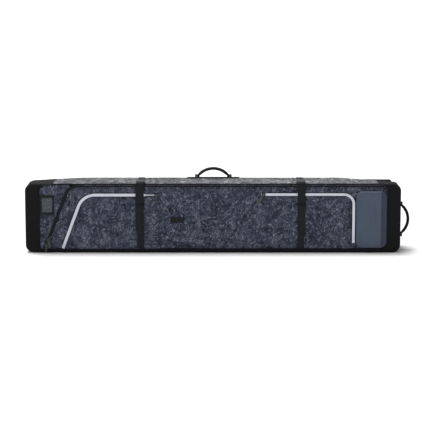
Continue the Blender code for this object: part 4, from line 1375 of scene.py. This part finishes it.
def build_window():
    x0, x1, z0, z1 = WINDOW
    hole = rectangle(x0 + 0.009, x1 - 0.009, z0 + 0.012, z1 - 0.012)
    back = FRONT - GAP
    frame_cloth = cloth_panel("id_window_binding", rectangle(x0, x1, z0, z1, 0.003),
                              back - 0.0018, back, 0.0012, 0.006, [hole], swell=False)
    give(frame_cloth, "binding", "bag_body", ["id_window_frame"])
    for inset in (0.0016, 0.0072):
        line = rectangle(x0 + inset, x1 - inset, z0 + inset * 1.2, z1 - inset * 1.2)
        stitch_front("bag_body", line + [line[0]], back - 0.0019, "pale_thread")
    low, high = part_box("id_window_pane")
    flat = filled(rectangle(low.x, high.x, low.z, high.z), 0.006)
    wave = creases(np.stack([flat[0][:, 0], flat[0][:, 0] * 0, flat[0][:, 1]], 1), 0.03)
    wave = 0.00015 * wave * smooth_step(flat[2], 0.0, 0.012)
    pane = closed_body("id_window_sheet", flat, -low.y + wave, -high.y + wave, facing_front)
    give(pane, "clear_sheet", "bag_body", ["id_window_pane"])
    low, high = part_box("id_card")
    flat = filled(rectangle(low.x, high.x, low.z, high.z, 0.002), 0.008)
    card = closed_body("id_card_sheet", flat, np.full(len(flat[0]), -low.y),
                       np.full(len(flat[0]), -high.y), facing_front, 40)
    give(card, "card", "bag_body", ["id_card"])


def build_label():
    x0, x1, z0, z1 = LABEL
    back = FRONT - GAP
    patch = cloth_panel("blank_label", rectangle(x0, x1, z0, z1, 0.002), TRIM, back, 0.0009,
                        0.005, swell=False)
    give(patch, "patch", "lid", ["label_patch"])
    line = rectangle(x0 + 0.002, x1 - 0.002, z0 + 0.002, z1 - 0.002)
    stitch_front("lid", line + [line[0]], TRIM - 0.0001)


# ---------------------------------------------------------------- straps and handles

def strap_run(name, points, x, body, node, thick=0.0017, width=STRAP_WIDTH, lean=None):
    """Webbing along a line of (y, z) points, flat across X."""
    line = even([Vector(p) for p in points], 0.008)
    path = [Vector((x + (lean(p.y) if lean else 0.0), p.x, p.y)) for p in line]
    outward = []
    for i in range(len(path)):
        along = (path[min(i + 1, len(path) - 1)] - path[max(i - 1, 0)]).normalized()
        outward.append(Vector((1, 0, 0)).cross(along).normalized())
    piece = sweep(name, path, [Vector((1, 0, 0))] * len(path), outward,
                  webbing_profile(width, thick), sharp=50)
    return give(piece, "webbing", body, [node])


def build_straps():
    for side, (x, tail_x) in STRAPS.items():
        node = f"strap_{side}_front"
        front, top_z = STRAP_PLANE, STRAP_CREST
        run = [(front + 0.0022, 0.0222), (front, 0.034), (front, 0.30), (front, 0.338)]
        run += quarter((front + 0.0065, top_z - 0.0068), 0.0065, 180, 96, 5)
        run += [(FRONT + 0.0005, top_z)]
        strap_run(f"{node}_webbing", run, x, body_of_node(node), node)
        node = f"strap_{side}_top"
        low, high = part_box(node)
        z = HEIGHT + 0.0012
        run = [(low.y, z), (-0.02, z - 0.0001), (BACK - 0.014, z - 0.0002), (BACK - 0.006, z - 0.0016),
               (high.y + 0.0002, z - 0.0062)]
        strap_run(f"{node}_webbing", run, x, body_of_node(node), node)
        build_tail(side, tail_x)
        node = f"strap_{side}_keeper"
        keeper = cad_copy(f"{node}_loop", node, 0.0005)
        give(keeper, "binding", body_of_node(node), [node])
        for part in ("plug", "socket"):
            node = f"buckle_{side}_{part}"
            piece = cad_copy(f"{node}_moulding", node, 0.0009, segments=3)
            give(piece, "black_plastic", body_of_node(node), [node])
        for z in (0.0262, 0.0352):
            stitch("lid", [(x - 0.012, front - 0.0008, z), (x + 0.012, front - 0.0008, z)])


def build_tail(side, x):
    """The loose end of the strap: it hangs from the top, its end cut at a slant."""
    node = f"strap_{side}_tail"
    low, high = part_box(node)
    half, rows_along, across = STRAP_WIDTH / 2, 34, 9
    y_front, y_back = low.y, high.y
    points, uvs = [], []
    for layer in (0, 1):
        for i in range(rows_along):
            share = i / (rows_along - 1)
            for k in range(across):
                u = -half + 2 * half * k / (across - 1)
                foot = low.z + TAIL_SLANT * (half - u) / (2 * half)
                z = high.z + (foot - high.z) * share
                free = smooth_step(np.array([0.225 - z]), 0.0, 0.12)[0]
                wave = 0.0011 * free * math.sin(z * 47.0) + 0.0006 * free * u / half
                edge = 0.0005 * (abs(u) / half) ** 8
                y = (y_front + edge if layer == 0 else y_back - edge) + wave - 0.0010 * free
                points.append((x + u, y, z))
                uvs.append((u, high.z - z))
    mesh = bpy.data.meshes.new(f"{node}_webbing")
    mesh.from_pydata(points, [], slab_faces(rows_along, across))
    layer = mesh.uv_layers.new(name="weave")
    for loop in mesh.loops:
        layer.data[loop.index].uv = uvs[loop.vertex_index]
    piece = bpy.data.objects.new(f"{node}_webbing", mesh)
    bpy.context.scene.collection.objects.link(piece)
    turn_outwards(piece)
    shade(piece, 50)
    give(piece, "webbing", body_of_node(node), [node])


def grip(name, path, normal, body, node):
    """A padded carrying loop: a round grip that flattens into webbing at its two ends."""
    path = even(path, 0.006)
    across = [normal] * len(path)
    outward = []
    for i in range(len(path)):
        along = (path[min(i + 1, len(path) - 1)] - path[max(i - 1, 0)]).normalized()
        outward.append(along.cross(normal).normalized())

    def swelling(share):
        near = min(share, 1 - share)
        full = float(smooth_step(np.array([near]), 0.02, 0.09)[0])
        return 1.0 + 0.03 * (1 - full), 0.66 + 0.34 * full

    loop = sweep(f"{name}_tube", path, across, outward, oval_profile(LOOP_RADIUS, LOOP_RADIUS, 18),
                 grow=swelling)
    ends = []
    for place in (path[0], path[-1]):
        along_pin = (path[-1] - path[0]).normalized()
        up = along_pin.cross(normal)
        ring_path = [place + along_pin * (s * 0.0066) for s in (-1, -0.5, 0.5, 1)]
        outer = sweep("end_ring", ring_path, [normal] * 4, [up] * 4, oval_profile(0.0071, 0.0071, 20),
                      sharp=50)
        ends.append(outer)
    piece = joined(f"{name}_loop", [loop, *ends])
    shade(piece, 50)
    return give(piece, "webbing", body, [node])


def loop_arc(half, rise, steps=30):
    """An arc over the chord from -half to half, as (along, up) points."""
    radius = (half ** 2 + rise ** 2) / (2 * rise)
    reach = math.asin(half / radius)
    turns = [reach * (2 * step / steps - 1) for step in range(steps + 1)]
    return [(radius * math.sin(t), radius * math.cos(t) - radius + rise) for t in turns]


def build_loop(name, path):
    grip(name, path, Vector((0, 1, 0)), name, name)
    for sign in (-1, 1):
        line = [p + Vector((0, sign * 0.0064, 0)) for p in even(path, 0.006)[4:-4]]
        stitch(name, line)


def build_handles():
    low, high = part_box("top_handle_base")
    middle = (low + high) / 2
    pin_z = high.z - PIN_TO_EAR_TOP
    build_loop("top_handle", [Vector((middle.x + u, middle.y, pin_z + w))
                              for u, w in loop_arc(*TOP_LOOP)])
    base_patch("top_handle", rectangle(low.x, high.x, low.y, high.y, 0.010), low.z + 0.002,
               low.z, facing_up, Vector((0, 0, low.z + 0.0022)), Vector((0, 0, 1)))
    low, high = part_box("end_handle_base")
    middle = (low + high) / 2
    pin_x = high.x - PIN_TO_EAR_TOP
    build_loop("end_handle", [Vector((pin_x + w, middle.y, middle.z + u))
                              for u, w in loop_arc(*END_LOOP)])
    base_patch("end_handle", rectangle(low.y, high.y, low.z, high.z, 0.010), low.x + 0.002,
               low.x, facing_right, Vector((low.x + 0.0022, 0, 0)), Vector((1, 0, 0)))


def base_patch(name, outline, top, bottom, place, cut_at, cut_normal):
    """The sewn patch under a handle, and the two brackets that hold its pins."""
    flat = filled(outline, 0.008, rings=[0.0006, 0.0016])
    patch = closed_body(f"{name}_patch", flat, top - rolled(flat[2], 0.0016),
                        np.full(len(flat[0]), bottom), place)
    give(patch, "black_cloth", "bag_body", [f"{name}_base"])
    brackets = cad_copy(f"{name}_brackets", f"{name}_base", 0.0012, (cut_at, cut_normal), 3)
    give(brackets, "black_plastic", "bag_body")
    corners = np.array([tuple(p) for p in outline])
    u0, v0 = corners.min(0) + 0.004
    u1, v1 = corners.max(0) - 0.004
    for inset in (0.0, 0.003):
        line = rectangle(u0 + inset, u1 - inset, v0 + inset, v1 - inset, 0.007)
        flat_line = np.array([tuple(p) for p in line + [line[0]]])
        stitch("bag_body", place(flat_line[:, 0], flat_line[:, 1],
                                 np.full(len(flat_line), top + 0.0001)))


# ---------------------------------------------------------------- sliders, wheels, small parts

def build_sliders():
    for name in ("main_lower", "main_upper", "pocket_1", "pocket_2"):
        node = f"{name}_slider"
        slider = cad_copy(f"{name}_slider_casting", node, 0.0007, segments=2)
        give(slider, "dark_metal", body_of_node(node), [node])
        node = f"{name}_pull"
        pull = cad_copy(f"{name}_pull_tab", node, 0.0004, segments=2)
        give(pull, "pull_plastic", body_of_node(node), [node])
        pull_grip(name, node)


def pull_grip(name, node):
    """The dark rubber end moulded over a pull, with three ribs."""
    points = np.array([v.co for v in frame["nodes"][node].data.vertices])
    top = points[points[:, 2] > points[:, 2].max() - 0.004].mean(0)
    far = points[np.linalg.norm(points - top, axis=1).argsort()[-6:]].mean(0)
    low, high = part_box(node)
    y = (low.y + high.y) / 2 if high.y - low.y < 0.004 else far[1]
    start, end = Vector((top[0], y, top[2])), Vector((far[0], y, far[2]))
    along = (end - start).normalized()
    reach = (end - start).length
    side = Vector((along.z, 0, -along.x))
    shares = np.linspace(0, 1, GRIP_STEPS + 1)
    path = [start + along * (reach * (0.50 + 0.50 * share) + 0.0008) for share in shares]
    ribs = [1.0 + 0.10 * math.sin(share * 24.0) for share in shares]

    def swelling(share):
        cap = math.sqrt(max(0.0, 1 - (2 * share - 1) ** 8))
        rib = ribs[int(round(share * GRIP_STEPS))]
        return max(cap, 0.25), max(cap * rib, 0.25)

    piece = sweep(f"{name}_pull_grip", path, [side] * len(path), [Vector((0, -1, 0))] * len(path),
                  oval_profile(0.0047, 0.0020, 14), grow=swelling)
    give(piece, "black_plastic", body_of_node(node))


def turned(name, profile, centre, steps=56):
    """A part turned about Z from (radius, height) points."""
    count = len(profile)
    points, faces = [], []
    for i in range(steps):
        turn = 2 * math.pi * i / steps
        points += [(centre[0] + r * math.cos(turn), centre[1] + r * math.sin(turn), centre[2] + h)
                   for r, h in profile]
    for i in range(steps):
        n = (i + 1) % steps
        for k in range(count):
            m = (k + 1) % count
            faces.append((i * count + k, n * count + k, n * count + m, i * count + m))
    return add_piece(name, np.array(points), faces, 40)


def build_wheels():
    for level, z in WHEEL_Z.items():
        centre = (WHEEL_X, WHEEL_Y, z)
        body = body_of_node(f"wheel_tyre_{level}")
        r, half = WHEEL_RADIUS, WHEEL_HALF
        tread = [(0.0253, half - 0.001), (0.031, half), (0.0335, half - 0.0006),
                 (r - 0.0008, half - 0.0030), (r, half - 0.0052)]
        groove = [(r, 0.0036), (r - 0.0016, 0.0032), (r - 0.0016, 0.0020), (r, 0.0016)]
        upper = tread + groove
        profile = upper + [(a, -b) for a, b in upper[::-1]]
        tyre = turned(f"wheel_tyre_{level}_rubber", profile, centre)
        give(tyre, "tyre_rubber", body, [f"wheel_tyre_{level}"])
        hub = [(0.0044, half - 0.001), (0.0085, half - 0.001), (0.0095, half - 0.0026),
               (0.0105, half - 0.0052), (0.0195, half - 0.0052), (0.0212, half - 0.0016),
               (0.0238, half - 0.0010), (0.0249, half - 0.0018)]
        profile = hub + [(a, -b) for a, b in hub[::-1]]
        pieces = [turned("hub_disc", profile, centre)]
        for face in (1, -1):
            for i in range(SPOKES):
                pieces.append(hub_rib(centre, 2 * math.pi * i / SPOKES, face * (half - 0.0038)))
        hub_piece = joined(f"wheel_hub_{level}_moulding", pieces)
        shade(hub_piece, 40)
        give(hub_piece, "black_plastic", body, [f"wheel_hub_{level}"])
        housing = cad_copy(f"wheel_housing_{level}_moulding", f"wheel_housing_{level}", 0.0012)
        give(housing, "black_plastic", "bag_body", [f"wheel_housing_{level}"])
        build_flange(level, z)
        axle = frame["nodes"][f"wheel_axle_{level}"]
        axle.data.materials.clear()
        axle.data.materials.append(FINISH["steel"])


def hub_rib(centre, turn, height):
    out = Vector((math.cos(turn), math.sin(turn), 0))
    side = Vector((-out.y, out.x, 0))
    middle = Vector(centre) + Vector((0, 0, height))
    path = [middle + out * r for r in (0.0092, 0.0130, 0.0170, 0.0208)]
    return sweep("hub_rib", path, [side] * 4, [Vector((0, 0, 1))] * 4,
                 [(0.0012, -0.0014), (0.0012, 0.0008), (0.0007, 0.0013), (-0.0007, 0.0013),
                  (-0.0012, 0.0008), (-0.0012, -0.0014)], sharp=40)


def build_flange(level, z):
    """The moulded rim round a wheel's opening, screwed through the cloth at the back."""
    outline = rectangle(*RIM_X, z - RIM_HALF, z + RIM_HALF, 0.010)
    hole = rectangle(*OPENING_X, z - OPENING_HALF, z + OPENING_HALF, 0.004)
    flat = filled(outline, 0.006, [hole], [0.0006, 0.0015, 0.0026])
    face = BACK + RIM_PROUD - rolled(flat[2], 0.0026)
    rim = closed_body(f"wheel_rim_{level}", flat, face, np.full(len(face), BACK - 0.0008),
                      facing_back, 50)
    give(rim, "black_plastic", "bag_body")
    screws = []
    for up in (-1, 1):
        for along in (-1, 1):
            place = (SCREWS_X + along * SCREW_REACH[0], BACK + RIM_PROUD, z + up * SCREW_REACH[1])
            screws.append(screw_head(place))
    piece = joined(f"wheel_rim_{level}_screws", screws)
    shade(piece, 35)
    give(piece, "dark_metal", "bag_body")


def screw_head(place):
    """A low round head with a round recess."""
    profile = [(0.0001, 0.0002), (0.0012, 0.0002), (0.0014, 0.0011), (0.0028, 0.0008),
               (0.0034, 0.0), (0.0034, -0.0012), (0.0001, -0.0012)]
    head = turned("screw_head", profile, (0, 0, 0), 20)
    head.data.transform(Matrix.Translation(place) @ Matrix.Rotation(-math.pi / 2, 4, "X"))
    return head


def finish_cad_nodes():
    board = frame["nodes"]["end_stiffener_board"]
    board.data.materials.clear()
    board.data.materials.append(FINISH["black_plastic"])


def sew():
    for (body, thread), lines in STITCHES.items():
        row(f"{body}_{thread}_stitches", lines, thread, body, "webbing",
            pitch=0.0042, length=0.0030, width=0.0009, height=0.0009)


# ---------------------------------------------------------------- stage, light and camera

FLOOR_TONE, FLOOR_REACH = 0.60, 70.0
SOFT_LIGHT, WHITE_SEEN = 0.52, 1.05     # the studio's light on the bag, and as the camera sees it


def build_stage():
    work = bmesh.new()
    bmesh.ops.create_grid(work, x_segments=2, y_segments=2, size=FLOOR_REACH)
    mesh = bpy.data.meshes.new("floor")
    work.to_mesh(mesh)
    work.free()
    floor = bpy.data.objects.new("floor", mesh)
    bpy.context.scene.collection.objects.link(floor)
    material = bpy.data.materials.new("pale_floor")
    material.use_nodes = True
    shader = material.node_tree.nodes["Principled BSDF"]
    shader.inputs["Base Color"].default_value = (FLOOR_TONE, FLOOR_TONE, FLOOR_TONE, 1.0)
    shader.inputs["Roughness"].default_value = 0.9
    shader.inputs["Specular IOR Level"].default_value = 0.1
    floor.data.materials.append(material)


def build_studio_air():
    """White all round: soft light on the bag, and a brighter white where the camera sees it."""
    world = bpy.data.worlds.new("studio")
    bpy.context.scene.world = world
    world.use_nodes = True
    tree = world.node_tree
    ray = tree.nodes.new("ShaderNodeLightPath").outputs["Is Camera Ray"]
    strength = remap(tree, ray, 0.0, 1.0, SOFT_LIGHT, WHITE_SEEN)
    tree.nodes["Background"].inputs["Color"].default_value = (1.0, 1.0, 1.0, 1.0)
    tree.links.new(strength, tree.nodes["Background"].inputs["Strength"])


def sun(name, place, strength, softness):
    light = bpy.data.lights.new(name, "SUN")
    light.energy = strength
    light.angle = math.radians(softness)
    lamp = bpy.data.objects.new(name, light)
    lamp.location = place
    lamp.rotation_euler = Vector(place).to_track_quat("Z", "Y").to_euler()
    bpy.context.scene.collection.objects.link(lamp)


def build_lights():
    build_studio_air()
    sun("overhead", (-0.6, 0.55, 3.0), 4.6, 26.0)
    sun("front_fill", (-2.2, -3.0, 2.6), 0.9, 50.0)


CAMERA_DISTANCE, CAMERA_ELEVATION, VIEW_WIDTH = 9.0, math.radians(10.2), 2.067
CAMERA_TARGET = (0.0024, FRONT, 0.1936)


def build_camera():
    target = Vector(CAMERA_TARGET)
    back = Vector((0.0, -math.cos(CAMERA_ELEVATION), math.sin(CAMERA_ELEVATION)))
    camera = bpy.data.cameras.new("camera")
    camera.sensor_width = 36.0
    camera.lens = camera.sensor_width * CAMERA_DISTANCE / VIEW_WIDTH
    camera.clip_end = 200.0
    eye = bpy.data.objects.new("camera", camera)
    eye.location = target + back * CAMERA_DISTANCE
    eye.rotation_euler = (-back).to_track_quat("-Z", "Y").to_euler()
    bpy.context.scene.collection.objects.link(eye)
    bpy.context.scene.camera = eye
    bpy.context.scene.view_settings.view_transform = "Standard"


build_stage()
build_lights()
build_camera()
build_shell()
build_linings()
build_front_panels()
build_hinge()
build_end_pocket()
build_main_zip()
build_pocket_zips()
build_window()
build_label()
build_straps()
build_handles()
build_sliders()
build_wheels()
finish_cad_nodes()
sew()
